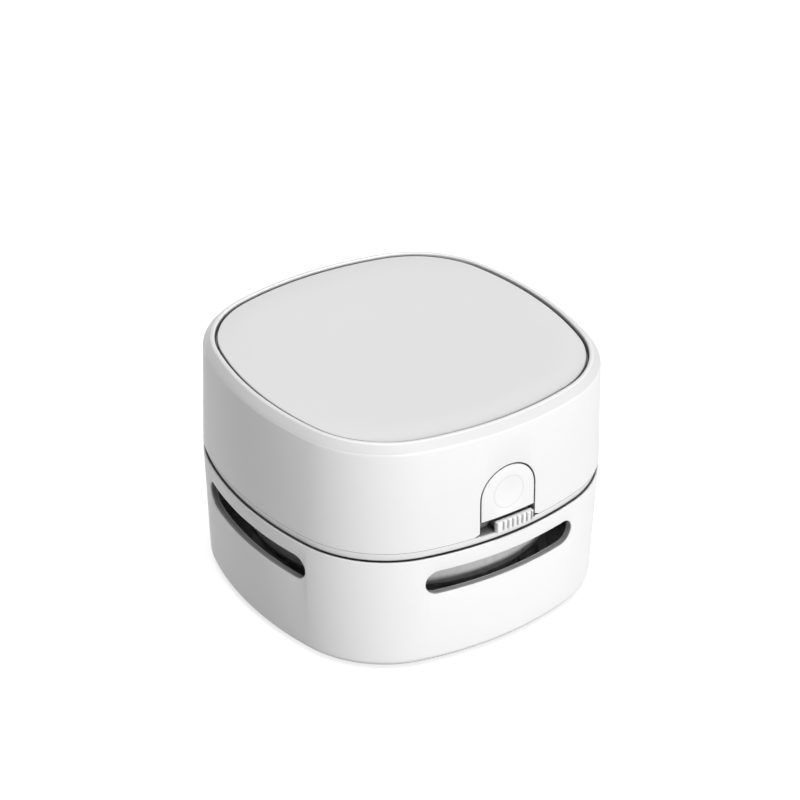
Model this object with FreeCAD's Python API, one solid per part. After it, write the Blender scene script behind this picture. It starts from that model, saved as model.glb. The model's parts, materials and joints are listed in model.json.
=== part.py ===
"""Desktop mini vacuum cleaner, 86 mm square with bowed sides and 60 mm high.

The dust unit stands on the table: shell, base plate with brush and suction mouth, round dust cup.
The motor unit lifts off it: chassis, filter, fan, motor, two AA cells, switch, and the latch that its
push button draws back. A lid closes the battery bay from above.
Millimetres, +Z up, origin on the table under the middle of the body. The button faces -Y.
Heights ending in HEIGHT, TOP or BOTTOM are measured from the table.
"""
import FreeCAD
import Part
import math
import os

# Body outline and heights
BODY_WIDTH = 86.0
BODY_HEIGHT = 60.0
SIDE_RADIUS = 82.0
CORNER_RADIUS = 26.9
WALL = 1.9
FOOT_LIFT = 0.6
SEAM_GAP = 0.3
LOWER_DRAFT = 0.9
BOTTOM_ROUND = 1.9
UPPER_DRAFT = 0.75
RIM_BEVEL = 1.85
RIM_FLAT = 1.0
BAND_HEIGHT = 2.15
BAND_BEVEL = 0.75
FIT = 0.25
NEAR = 0.3
TINY = 0.01

# Dust unit
FLOOR = 1.8
SLOT_HALF_LENGTH = 20.5
SLOT_HEIGHT = 6.35
SLOT_DROP = 7.2
COVER_THICKNESS = 2.0
WEB_THICKNESS = 1.6
POST_RADIUS = 2.9
POST_INSET = 2.8
COLLAR_GAP = 3.1
OUTLET_GAP = 4.1
CUP_WALL = 1.4
CUP_DROP = 0.8
CUP_DEPTH = 14.4
CUP_EDGE = 1.3
MOUTH_RADIUS = 16.0
CHIMNEY_RADIUS = 8.0
CHIMNEY_RISE = 6.5
CAP_THICKNESS = 1.0
CAP_LIFT = 2.2
CAP_LEGS = 3
SEAL_HEIGHT = 1.0
SEAL_INSET = 0.4
BRUSH_WALL = 1.75
BRUSH_WIDTH = 3.6
BRUSH_DEPTH = 3.4
TUFT_COUNT = 24
TUFT_RADIUS = 0.7
TUFT_SIDES = 4
TUFT_CLEARANCE = 0.15
FOOT_RADIUS = 3.2
FOOT_THICKNESS = 1.2

# Screws, and the sides of the small round posts, screws and holes that repeat
PEG_SIDES = 8
SCREW_RADIUS = 1.0
SCREW_HEAD_RADIUS = 1.9
SCREW_HEAD_HEIGHT = 1.1
SCREW_LENGTH = 7.0
TRAY_SCREW_LENGTH = 6.0
TRAY_SCREW_OFFSET = 8.0
SCREW_CLEARANCE = 0.1

# Chassis, filter and shell fittings
DECK_THICKNESS = 1.65
BAND_WIDTH = 3.7
TONGUE_THICKNESS = 1.2
TONGUE_DEPTH = 3.0
TONGUE_ANGLE = 18.0
WINDOW_ANGLE = 22.0
INLET_RADIUS = 11.0
GRILLE_BAR = 1.2
GRILLE_BARS = 3
FILTER_DEPTH = 4.6
FILTER_RIM = 1.8
FILTER_BAR = 1.3
FILTER_SPOKES = 8
SHELL_BOSS_RADIUS = 3.0
SHELL_BOSS_OFFSET = 14.0
LEDGE_WIDTH = 2.4
LEDGE_THICKNESS = 1.6

# Lid
LID_GAP = 0.45
LID_RECESS = 0.4
LID_THICKNESS = 1.8
LID_SKIRT = 1.0
LID_SKIRT_THICKNESS = 1.0

# Fan and motor
FAN_RADIUS = 24.0
FAN_CLEARANCE = 0.8
BLADE_COUNT = 9
BLADE_HEIGHT = 5.5
BLADE_THICKNESS = 1.0
BLADE_SWEEP = 38.0
BLADE_BOW = 2.2
FAN_PLATE = 1.1
FAN_HUB_RADIUS = 3.4
FAN_HUB_RISE = 1.0
SHAFT_RADIUS = 1.0
SHAFT_PLAY = 0.05
SHAFT_END_GAP = 0.5
MOTOR_RADIUS = 12.2
MOTOR_HEIGHT = 11.0
MOTOR_CAP_HEIGHT = 1.4
MOTOR_CAP_RADIUS = 10.5
MOTOR_NOSE_RADIUS = 3.1
TERMINAL_SPREAD = 6.0
TERMINAL_WIDTH = 2.4
TERMINAL_HEIGHT = 1.4

# Battery tray and cells
TRAY_GAP = 1.1
TRAY_DECK = 1.4
TRAY_WALL = 1.0
TRAY_WALL_HEIGHT = 7.4
TRAY_LEG_RADIUS = 2.6
CELL_RADIUS = 7.1
CELL_LENGTH = 49.2
CELL_NIPPLE_RADIUS = 2.75
CELL_NIPPLE = 1.0
CELL_ROOM = 0.75
CONTACT_ROOM = 2.5
CONTACT_THICKNESS = 0.4
CONTACT_HALF_WIDTH = 5.0
CONTACT_COIL_RADIUS = 4.0
CONTACT_COIL_TIP = 3.0
CONTACT_COIL_TURNS = 2
SPRING_WIRE = 0.5
COIL_STEPS = 8
WIRE_SIDES = 4

# Push button and latch
BUTTON_HALF_WIDTH = 7.3
BUTTON_GAP = 0.35
NOTCH_WIDTH = 1.5
NOTCH_HEIGHT = 0.6
BUTTON_RISE = 5.4
BUTTON_TRAVEL = 1.3
DISH_RADIUS = 4.3
DISH_DEPTH = 0.35
DISH_LIFT = 0.5
FLANGE_THICKNESS = 1.5
FLANGE_MARGIN = 1.9
NECK_INSET = 1.0
LATCH_THICKNESS = 1.4
LATCH_HEIGHT = 8.7
LATCH_CLEARANCE = 0.5
HOOK_OFFSET = 12.0
HOOK_WIDTH = 3.0
HOOK_DEPTH = 1.0
HOOK_HEIGHT = 1.2
CATCH_HEIGHT = 1.2
CATCH_DROP = 1.0
RETURN_SPRING_RADIUS = 1.5
RETURN_SPRING_TURNS = 4
SPIGOT_LENGTH = 1.6
BRACKET_HALF_WIDTH = 8.0
BRACKET_ROOM = 5.5
BRACKET_THICKNESS = 1.2
GUSSET_DEPTH = 3.0

# Power slide
KNOB_WIDTH = 10.0
KNOB_HEIGHT = 2.7
KNOB_CLEARANCE = 0.9
KNOB_PROUD = 0.8
KNOB_REST = 1.4
KNOB_TRAVEL = 3.0
KNOB_PLATE = 1.3
KNOB_NECK_INSET = 0.5
RIB_COUNT = 7
RIB_PITCH = 1.31
RIB_OFFSET = 0.55
RIB_GROOVE = 0.3
SLIDE_PLATE = 0.6
SLIDE_MARGIN = 0.75
SLIDE_PLAY = 0.15
SLIDE_LEDGE = 0.45
LEVER_WIDTH = 2.0
LEVER_HEIGHT = 1.5
LEVER_REACH = 2.6
SWITCH_LENGTH = 10.0
SWITCH_HEIGHT = 3.6
SWITCH_WALL = 0.5
SWITCH_DEPTH = 3.6
PIN_PITCH = 2.5
PIN_WIDTH = 0.8
PIN_THICKNESS = 0.4
PIN_LENGTH = 1.2
BOARD_THICKNESS = 1.2
BOARD_HALF_WIDTH = 9.0
BOARD_HEIGHT = 3.9
BOARD_POST_WALL = 0.9

# Worked out from the sizes above
HALF = BODY_WIDTH / 2
SIDE_CENTRE = SIDE_RADIUS - HALF
CORNER_CENTRE = (math.sqrt(2 * (SIDE_RADIUS - CORNER_RADIUS) ** 2 - SIDE_CENTRE ** 2) - SIDE_CENTRE) / 2
SIDE_ANGLE = math.atan2(CORNER_CENTRE, CORNER_CENTRE + SIDE_CENTRE)
LID_OPENING = UPPER_DRAFT + RIM_BEVEL + RIM_FLAT

# The motor unit's heights follow from the top down, and the dust unit takes what is left
RIM_BEVEL_HEIGHT = BODY_HEIGHT - RIM_BEVEL
LID_TOP = BODY_HEIGHT - LID_RECESS
LEDGE_TOP = LID_TOP - LID_THICKNESS
LEDGE_BOTTOM = LEDGE_TOP - LEDGE_THICKNESS
CELL_AXIS = LEDGE_TOP - CELL_ROOM - CELL_RADIUS
TRAY_TOP = CELL_AXIS - CELL_RADIUS - NEAR
TRAY_BOTTOM = TRAY_TOP - TRAY_DECK
MOTOR_TOP = TRAY_TOP + MOTOR_HEIGHT
FAN_TOP = TRAY_BOTTOM - TRAY_GAP
FAN_BOTTOM = FAN_TOP - FAN_PLATE - BLADE_HEIGHT
BAND_TOP = FAN_BOTTOM - FAN_CLEARANCE
BAND_BOTTOM = BAND_TOP - BAND_HEIGHT
DECK_BOTTOM = BAND_TOP - DECK_THICKNESS
SEAM_HEIGHT = BAND_BOTTOM - SEAM_GAP

COVER_TOP = FOOT_LIFT + COVER_THICKNESS
WEB_TOP = COVER_TOP + WEB_THICKNESS
BRUSH_RADIUS = MOUTH_RADIUS + CUP_WALL + FIT + BRUSH_WALL + BRUSH_WIDTH / 2
COLLAR_RADIUS = BRUSH_RADIUS + BRUSH_WIDTH / 2 + WALL
FLOOR_OPENING_RADIUS = COLLAR_RADIUS + COLLAR_GAP
POST_CIRCLE = FLOOR_OPENING_RADIUS + SCREW_CLEARANCE + POST_RADIUS
COVER_RADIUS = POST_CIRCLE + POST_INSET
CUP_RADIUS = HALF - WALL - OUTLET_GAP
CUP_BORE = CUP_RADIUS - CUP_WALL
CUP_RIM_HEIGHT = SEAM_HEIGHT - CUP_DROP
CUP_FLOOR_HEIGHT = CUP_RIM_HEIGHT - CUP_DEPTH
CHIMNEY_HEIGHT = CUP_FLOOR_HEIGHT + CHIMNEY_RISE
SLOT_CENTRE_HEIGHT = SEAM_HEIGHT - SLOT_DROP

TROUGH_INNER = MOTOR_RADIUS + 2 * NEAR
CELL_OFFSET = TROUGH_INNER + TRAY_WALL + NEAR + CELL_RADIUS
TROUGH_OUTER = CELL_OFFSET + CELL_RADIUS + NEAR + TRAY_WALL
TROUGH_HALF_LENGTH = CELL_LENGTH / 2 + CONTACT_ROOM + CONTACT_THICKNESS

OPENING_HALF_WIDTH = BUTTON_HALF_WIDTH + BUTTON_GAP
SLIDE_FLOOR = BAND_TOP - NEAR
KNOB_BOTTOM = SLIDE_FLOOR + SLIDE_PLAY
KNOB_TOP = KNOB_BOTTOM + KNOB_HEIGHT
BUTTON_BOTTOM = KNOB_TOP + KNOB_CLEARANCE
BUTTON_ARC_HEIGHT = BUTTON_BOTTOM + BUTTON_RISE
DISH_HEIGHT = BUTTON_ARC_HEIGHT + DISH_LIFT
SWITCH_BOTTOM = BAND_TOP + FIT
LATCH_BOTTOM = SWITCH_BOTTOM + SWITCH_HEIGHT + LATCH_CLEARANCE
SPRING_HEIGHT = (LATCH_BOTTOM + TRAY_BOTTOM) / 2


def vec(x, y, z):
    return FreeCAD.Vector(x, y, z)


def outline_arcs():
    """Centre, radius, start and end angle of each arc: four bowed sides joined by tangent corners."""
    arcs = []
    for quarter in range(4):
        turn = quarter * math.pi / 2
        side = vec(-SIDE_CENTRE * math.cos(turn), -SIDE_CENTRE * math.sin(turn), 0)
        arcs.append((side, SIDE_RADIUS, turn - SIDE_ANGLE, turn + SIDE_ANGLE))
        diagonal = turn + math.pi / 4
        reach = CORNER_CENTRE * math.sqrt(2)
        corner = vec(reach * math.cos(diagonal), reach * math.sin(diagonal), 0)
        swing = math.pi / 4 - SIDE_ANGLE
        arcs.append((corner, CORNER_RADIUS, diagonal - swing, diagonal + swing))
    return arcs


def outline(inset, z):
    """The body's plan outline, moved in by inset."""
    edges = []
    for centre, radius, start, end in outline_arcs():
        circle = Part.Circle(centre + vec(0, 0, z), vec(0, 0, 1), radius - inset)
        edges.append(Part.ArcOfCircle(circle, start, end).toShape())
    return Part.Wire(edges)


def side_reach(offset, inset):
    """How far the side lies from the middle, at an offset along it."""
    return math.sqrt((SIDE_RADIUS - inset) ** 2 - offset ** 2) - SIDE_CENTRE


def corner_reach(inset):
    """How far the outline lies from the middle along a diagonal."""
    return CORNER_CENTRE * math.sqrt(2) + CORNER_RADIUS - inset


def tapered(low_inset, low, high_inset, high):
    """A solid whose outline goes from one inset to another: each of its walls is part of a cone."""
    faces = [Part.Face(outline(low_inset, low)), Part.Face(outline(high_inset, high))]
    for centre, radius, start, end in outline_arcs():
        base = centre + vec(0, 0, low)
        sweep = math.degrees(end - start)
        cone = Part.makeCone(radius - low_inset, radius - high_inset, high - low, base, vec(0, 0, 1), sweep)
        cone.rotate(base, vec(0, 0, 1), math.degrees(start))
        faces += [f for f in cone.Faces if f.Surface.TypeId == "Part::GeomCone"]
    shell = Part.makeShell(faces)
    shell.sewShape()
    return Part.makeSolid(shell)


def slab(inset, low, high):
    return Part.Face(outline(inset, low)).extrude(vec(0, 0, high - low))


def lower_inset(z):
    return LOWER_DRAFT * (SEAM_HEIGHT - z) / (SEAM_HEIGHT - FOOT_LIFT)


def upper_inset(z):
    return UPPER_DRAFT * (z - BAND_TOP) / (RIM_BEVEL_HEIGHT - BAND_TOP)


def block(x0, x1, y0, y1, z0, z1):
    return Part.makeBox(x1 - x0, y1 - y0, z1 - z0, vec(x0, y0, z0))


def disc(radius, low, high, x=0.0, y=0.0):
    return Part.makeCylinder(radius, high - low, vec(x, y, low))


def ring(outer, inner, low, high, x=0.0, y=0.0):
    return disc(outer, low, high, x, y).cut(disc(inner, low, high, x, y))


def turned(points):
    """A solid of revolution about Z from (radius, height) points."""
    wire = Part.makePolygon([vec(r, 0, z) for r, z in points + points[:1]])
    return Part.Face(wire).revolve(vec(0, 0, 0), vec(0, 0, 1), 360)


def fused(first, *others):
    return first.fuse(list(others)).removeSplitter()


def four_ways(shape, start=0):
    """The shape turned to each quarter about Z."""
    copies = []
    for quarter in range(4):
        copy = shape.copy()
        copy.rotate(vec(0, 0, 0), vec(0, 0, 1), start + 90 * quarter)
        copies.append(copy)
    return copies


def both_sides(shape):
    """The shape and its mirror image across the middle plane X = 0."""
    return [shape, shape.mirror(vec(0, 0, 0), vec(1, 0, 0))]


def diagonal_points(reach):
    step = reach / math.sqrt(2)
    return [(x * step, y * step) for x in (1, -1) for y in (1, -1)]


def sector(half_angle, low, high):
    """A wedge about the +X+Y diagonal, wide enough to span the body."""
    reach = BODY_WIDTH
    middle = math.pi / 4
    swing = math.radians(half_angle)
    corners = [vec(0, 0, low)]
    for angle in (middle - swing, middle, middle + swing):
        corners.append(vec(reach * math.cos(angle), reach * math.sin(angle), low))
    return Part.Face(Part.makePolygon(corners + corners[:1])).extrude(vec(0, 0, high - low))


def prism(sides, radius, low, high, x=0.0, y=0.0):
    """An upright prism with a regular outline."""
    step = 2 * math.pi / sides
    angles = [i * step for i in range(sides)]
    corners = [vec(x + radius * math.cos(a), y + radius * math.sin(a), low) for a in angles]
    return Part.Face(Part.makePolygon(corners + corners[:1])).extrude(vec(0, 0, high - low))


def peg(radius, low, high, x=0.0, y=0.0):
    """A small round post or hole, drawn with few sides because many repeat."""
    return prism(PEG_SIDES, radius, low, high, x, y)


def screw(x, y, head_z, up, length=SCREW_LENGTH):
    """A pan-head screw whose head bears at head_z and whose shank points up (1) or down (-1)."""
    head_low = min(head_z, head_z - up * SCREW_HEAD_HEIGHT)
    head = peg(SCREW_HEAD_RADIUS, head_low, head_low + SCREW_HEAD_HEIGHT, x, y)
    shank_low = min(head_z, head_z + up * length)
    shank = peg(SCREW_RADIUS, shank_low, shank_low + length, x, y)
    return fused(head, shank)


def coil(radius, end_radius, length, turns):
    """A coil spring along +Z from the origin, of spring wire, in straight steps."""
    steps = turns * COIL_STEPS
    sections = []
    for index in range(steps + 1):
        share = index / steps
        angle = 360 * turns * share
        middle = radius + (end_radius - radius) * share
        corners = []
        for corner in range(WIRE_SIDES):
            swing = 2 * math.pi * corner / WIRE_SIDES
            across = SPRING_WIRE / 2 * math.cos(swing)
            corners.append(vec(middle + across, 0, length * share + SPRING_WIRE / 2 * math.sin(swing)))
        section = Part.makePolygon(corners + corners[:1])
        section.rotate(vec(0, 0, 0), vec(0, 0, 1), angle)
        sections.append(section)
    return Part.makeLoft(sections, True, True)


def write(name, shape):
    shape.exportStep(os.path.join("parts", name + ".step"))


# Dust unit

def foot_points():
    inner = COVER_RADIUS + NEAR + WEB_THICKNESS
    outer = corner_reach(LOWER_DRAFT + BOTTOM_ROUND)
    return diagonal_points((inner + outer) / 2)


def slot_cutter():
    """A long slot with round ends through the wall that faces -Y."""
    half_height = SLOT_HEIGHT / 2
    straight = SLOT_HALF_LENGTH - half_height
    low = SLOT_CENTRE_HEIGHT - half_height
    bar = block(-straight, straight, -BODY_WIDTH, -CUP_RADIUS / 2, low, low + SLOT_HEIGHT)
    ends = []
    for x in (-straight, straight):
        start = vec(x, -BODY_WIDTH, SLOT_CENTRE_HEIGHT)
        ends.append(Part.makeCylinder(half_height, BODY_WIDTH - CUP_RADIUS / 2, start, vec(0, 1, 0)))
    return bar.fuse(ends)


def catch():
    """The rib inside the front wall that a latch hook snaps under."""
    face = hook_front() + NEAR
    top = SEAM_HEIGHT - CATCH_DROP
    half = HOOK_WIDTH / 2 + NEAR * 2
    return block(HOOK_OFFSET - half, HOOK_OFFSET + half, -HALF + WALL / 2, -face, top - CATCH_HEIGHT, top)


def lower_shell():
    outer = tapered(LOWER_DRAFT, FOOT_LIFT, 0, SEAM_HEIGHT)
    bottom_edges = [e for e in outer.Edges if e.BoundBox.ZMax < FOOT_LIFT + TINY]
    outer = outer.makeFillet(BOTTOM_ROUND, bottom_edges)
    floor_top = FOOT_LIFT + FLOOR
    inside = tapered(lower_inset(floor_top) + WALL, floor_top, WALL, SEAM_HEIGHT)
    shell = outer.cut(inside)
    recess = COVER_RADIUS + NEAR
    web = ring(recess + WEB_THICKNESS, FLOOR_OPENING_RADIUS, FOOT_LIFT, WEB_TOP)
    posts = [peg(POST_RADIUS, COVER_TOP, CUP_FLOOR_HEIGHT, x, y) for x, y in diagonal_points(POST_CIRCLE)]
    catches = [c.common(outer) for c in both_sides(catch())]
    shell = shell.fuse([web] + posts + catches)
    cuts = [disc(recess, 0, COVER_TOP), disc(FLOOR_OPENING_RADIUS, 0, WEB_TOP)]
    cuts += [peg(FOOT_RADIUS + SCREW_CLEARANCE, 0, FOOT_THICKNESS, x, y) for x, y in foot_points()]
    hole = SCREW_RADIUS + SCREW_CLEARANCE
    depth = COVER_TOP + SCREW_LENGTH
    cuts += [peg(hole, 0, depth, x, y) for x, y in diagonal_points(POST_CIRCLE)]
    cuts += four_ways(slot_cutter())
    return shell.cut(cuts).removeSplitter()


def brush_seat(margin):
    """The ring-shaped space of the brush ring, made larger all round by margin."""
    half = BRUSH_WIDTH / 2 + margin
    return ring(BRUSH_RADIUS + half, BRUSH_RADIUS - half, FOOT_LIFT, FOOT_LIFT + BRUSH_DEPTH + margin)


def base_plate():
    """Round cover under the floor, with the suction mouth, the brush groove and the inlet collar."""
    plate = disc(COVER_RADIUS, FOOT_LIFT, COVER_TOP)
    collar_inner = MOUTH_RADIUS + CUP_WALL + FIT
    collar = disc(COLLAR_RADIUS, FOOT_LIFT, FOOT_LIFT + BRUSH_DEPTH + WALL)
    plate = plate.fuse(collar)
    cuts = [disc(collar_inner, COVER_TOP, BODY_HEIGHT), disc(MOUTH_RADIUS, 0, WEB_TOP)]
    cuts.append(brush_seat(SCREW_CLEARANCE))
    for x, y in diagonal_points(POST_CIRCLE):
        cuts.append(peg(SCREW_RADIUS + SCREW_CLEARANCE, 0, COVER_TOP, x, y))
        cuts.append(peg(SCREW_HEAD_RADIUS + SCREW_CLEARANCE, 0, FOOT_LIFT + SCREW_HEAD_HEIGHT, x, y))
    return plate.cut(cuts).removeSplitter()


def tuft_points():
    step = 2 * math.pi / TUFT_COUNT
    return [(BRUSH_RADIUS * math.cos(i * step), BRUSH_RADIUS * math.sin(i * step)) for i in range(TUFT_COUNT)]


def tuft(low, x, y):
    """A tuft of bristles, or its hole, from a height up to the seat in the brush ring."""
    return prism(TUFT_SIDES, TUFT_RADIUS, low, FOOT_LIFT + BRUSH_DEPTH - TUFT_RADIUS, x, y)


def brush_ring():
    holes = []
    for x, y in tuft_points():
        holes.append(tuft(FOOT_LIFT, x, y))
    return brush_seat(0).cut(holes)


def bristle_tufts():
    return Part.makeCompound([tuft(TUFT_CLEARANCE, x, y) for x, y in tuft_points()])


def rubber_feet():
    return Part.makeCompound([peg(FOOT_RADIUS, 0, FOOT_THICKNESS, x, y) for x, y in foot_points()])


def base_screws():
    bearing = FOOT_LIFT + SCREW_HEAD_HEIGHT
    return Part.makeCompound([screw(x, y, bearing, 1) for x, y in diagonal_points(POST_CIRCLE)])


def inlet_radius(z):
    """Inner radius of the cone from the mouth up to the chimney's top."""
    low = COVER_TOP + SEAL_HEIGHT
    return MOUTH_RADIUS + (CHIMNEY_RADIUS - MOUTH_RADIUS) * (z - low) / (CHIMNEY_HEIGHT - low)


def dust_cup():
    """Round cup with a bevelled lower edge and the conical inlet through its floor."""
    low = COVER_TOP + SEAL_HEIGHT
    floor_top = CUP_FLOOR_HEIGHT + CUP_WALL
    profile = [
        (CUP_RADIUS, CUP_RIM_HEIGHT),
        (CUP_RADIUS, CUP_FLOOR_HEIGHT + CUP_EDGE),
        (CUP_RADIUS - CUP_EDGE, CUP_FLOOR_HEIGHT),
        (inlet_radius(CUP_FLOOR_HEIGHT) + CUP_WALL, CUP_FLOOR_HEIGHT),
        (MOUTH_RADIUS + CUP_WALL, low),
        (MOUTH_RADIUS, low),
        (CHIMNEY_RADIUS, CHIMNEY_HEIGHT),
        (CHIMNEY_RADIUS + CUP_WALL, CHIMNEY_HEIGHT),
        (inlet_radius(floor_top) + CUP_WALL, floor_top),
        (CUP_BORE, floor_top),
        (CUP_BORE, CUP_RIM_HEIGHT),
    ]
    return turned(profile)


def inlet_seal():
    return ring(MOUTH_RADIUS + CUP_WALL, MOUTH_RADIUS, COVER_TOP, COVER_TOP + SEAL_HEIGHT)


def deflector_cap():
    """Cap on three legs that stand on the chimney's edge, so dust drops beside it."""
    outer = CHIMNEY_RADIUS + CUP_WALL
    top = CHIMNEY_HEIGHT + CAP_LIFT
    cap = disc(outer + CUP_WALL, top, top + CAP_THICKNESS)
    legs = []
    middle = CHIMNEY_RADIUS + CUP_WALL / 2
    for index in range(CAP_LEGS):
        angle = 2 * math.pi * index / CAP_LEGS
        x = middle * math.cos(angle)
        y = middle * math.sin(angle)
        legs.append(peg(CUP_WALL / 2, CHIMNEY_HEIGHT, top, x, y))
    return fused(cap, *legs)


# Motor unit

def hook_front():
    """Distance from the middle of the latch arms' front faces, behind the hooks and the button's flange."""
    hook = side_reach(HOOK_OFFSET + HOOK_WIDTH / 2, WALL) - NEAR - HOOK_DEPTH
    wall = side_reach(BUTTON_HALF_WIDTH + FLANGE_MARGIN, WALL + upper_inset(BUTTON_ARC_HEIGHT))
    return min(hook, wall - SCREW_CLEARANCE - FLANGE_THICKNESS)


def bracket_face():
    """Distance from the middle of the spring bracket's front face."""
    return hook_front() - LATCH_THICKNESS - BRACKET_ROOM


def shell_boss_points():
    x = side_reach(SHELL_BOSS_OFFSET, WALL + UPPER_DRAFT) - SHELL_BOSS_RADIUS + NEAR
    return [(a * x, b * SHELL_BOSS_OFFSET) for a in (1, -1) for b in (1, -1)]


def tray_screw_points():
    side = TROUGH_HALF_LENGTH + TRAY_WALL + TRAY_LEG_RADIUS + NEAR
    back = TROUGH_OUTER + TRAY_LEG_RADIUS + NEAR
    return [(side, 0), (-side, 0), (TRAY_SCREW_OFFSET, back), (-TRAY_SCREW_OFFSET, back)]


def latch_window(x):
    """The opening in the chassis for one latch arm over its whole travel."""
    half = HOOK_WIDTH / 2 + NEAR
    back = hook_front() - LATCH_THICKNESS - BUTTON_TRAVEL - NEAR
    front = hook_front() + HOOK_DEPTH + NEAR
    return block(x - half, x + half, -front, -back, 0, BODY_HEIGHT)


def tongue_ring(low, high):
    inset = WALL + FIT
    return slab(inset, low, high).cut(slab(inset + TONGUE_THICKNESS, low, high))


def corner_tongues(low, high, angle):
    return [t.common(tongue_ring(low, high)) for t in four_ways(sector(angle, low, high))]


def grille():
    bars = []
    for index in range(GRILLE_BARS):
        bar = block(-INLET_RADIUS, INLET_RADIUS, -GRILLE_BAR / 2, GRILLE_BAR / 2, DECK_BOTTOM, BAND_TOP)
        bar.rotate(vec(0, 0, 0), vec(0, 0, 1), 180 * index / GRILLE_BARS)
        bars.append(bar)
    middle = INLET_RADIUS / 2
    bars.append(ring(middle + GRILLE_BAR / 2, middle - GRILLE_BAR / 2, DECK_BOTTOM, BAND_TOP))
    return bars


def board_post():
    """A grooved post that holds one end of the switch board."""
    front = -switch_back()
    back = front + BOARD_THICKNESS
    x = BOARD_HALF_WIDTH
    wall = BOARD_POST_WALL
    play = SCREW_CLEARANCE
    top = BAND_TOP + BOARD_HEIGHT
    post = block(x - wall, x + wall, front - wall, back + wall, BAND_TOP, top)
    groove = block(0, x + play, front - play, back + play, BAND_TOP, top)
    return post.cut(groove)


def bracket():
    """The wall behind the button's spring, with its spigot and two gussets."""
    face = -bracket_face()
    back = face + BRACKET_THICKNESS
    half = BRACKET_HALF_WIDTH
    top = TRAY_BOTTOM - NEAR
    wall = block(-half, half, face, back, BAND_TOP, top)
    x = half - BRACKET_THICKNESS
    corners = [vec(x, back, BAND_TOP), vec(x, back + GUSSET_DEPTH, BAND_TOP), vec(x, back, top)]
    side = Part.Face(Part.makePolygon(corners + corners[:1]))
    gussets = both_sides(side.extrude(vec(BRACKET_THICKNESS, 0, 0)))
    return wall.fuse(gussets + [spring_spigot(face, -1)])


def spring_spigot(y, direction):
    radius = RETURN_SPRING_RADIUS - SPRING_WIRE / 2 - FIT
    return Part.makeCylinder(radius, SPIGOT_LENGTH, vec(0, y, SPRING_HEIGHT), vec(0, direction, 0))


def chassis():
    """Floor of the motor unit: band, deck, inlet grille, outlet windows, tongues, posts and bracket."""
    band = tapered(BAND_BEVEL, BAND_BOTTOM, 0, BAND_TOP)
    band = band.cut(slab(BAND_WIDTH, BAND_BOTTOM, DECK_BOTTOM))
    window = slab(BAND_WIDTH, 0, BODY_HEIGHT).cut(disc(CUP_RADIUS + CUP_WALL, 0, BODY_HEIGHT))
    windows = [w.common(window) for w in four_ways(sector(WINDOW_ANGLE, 0, BODY_HEIGHT))]
    band = band.cut(windows + [disc(INLET_RADIUS, 0, BODY_HEIGHT)])
    parts = corner_tongues(BAND_BOTTOM - TONGUE_DEPTH, BAND_BOTTOM, TONGUE_ANGLE)
    parts += corner_tongues(BAND_TOP, BAND_TOP + TONGUE_DEPTH, TONGUE_ANGLE)
    parts += grille()
    parts += [peg(TRAY_LEG_RADIUS, BAND_TOP, TRAY_BOTTOM, x, y) for x, y in tray_screw_points()]
    parts += both_sides(board_post())
    parts.append(bracket())
    band = band.fuse(parts)
    hole = SCREW_RADIUS + SCREW_CLEARANCE
    pocket = SCREW_HEAD_RADIUS + SCREW_CLEARANCE
    cuts = [peg(hole, 0, BODY_HEIGHT, x, y) for x, y in shell_boss_points()]
    cuts += [peg(pocket, 0, DECK_BOTTOM, x, y) for x, y in shell_boss_points()]
    cuts += [peg(hole, TRAY_TOP - TRAY_SCREW_LENGTH, BODY_HEIGHT, x, y) for x, y in tray_screw_points()]
    cuts += [latch_window(HOOK_OFFSET), latch_window(-HOOK_OFFSET)]
    cuts.append(block(-OPENING_HALF_WIDTH, OPENING_HALF_WIDTH, -BODY_WIDTH, -HALF + BAND_WIDTH,
                      SLIDE_FLOOR, BAND_TOP))
    return band.cut(cuts).removeSplitter()


def arch(half_width, low, y0, y1):
    """A prism along Y with straight sides and a round top over the button's centre."""
    sides = block(-half_width, half_width, y0, y1, low, BUTTON_ARC_HEIGHT)
    top = Part.makeCylinder(half_width, y1 - y0, vec(0, y0, BUTTON_ARC_HEIGHT), vec(0, 1, 0), 180)
    top.rotate(vec(0, 0, BUTTON_ARC_HEIGHT), vec(0, 1, 0), -90)
    return sides.fuse(top)


def upper_body():
    wall = tapered(0, BAND_TOP, UPPER_DRAFT, RIM_BEVEL_HEIGHT)
    return wall.fuse(tapered(UPPER_DRAFT, RIM_BEVEL_HEIGHT, UPPER_DRAFT + RIM_BEVEL, BODY_HEIGHT))


def upper_inside():
    return tapered(WALL, BAND_TOP, upper_inset(LEDGE_BOTTOM) + WALL, LEDGE_BOTTOM)


def opening_notches():
    """The wedge-shaped finger cuts beside the lower corners of the button's opening."""
    y = -BODY_WIDTH
    corners = [vec(0, y, BAND_TOP), vec(OPENING_HALF_WIDTH + NOTCH_WIDTH, y, BAND_TOP),
               vec(OPENING_HALF_WIDTH, y, BAND_TOP + NOTCH_HEIGHT), vec(0, y, BAND_TOP + NOTCH_HEIGHT)]
    wedge = Part.Face(Part.makePolygon(corners + corners[:1])).extrude(vec(0, HALF + 2 * WALL, 0))
    return both_sides(wedge)


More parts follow.
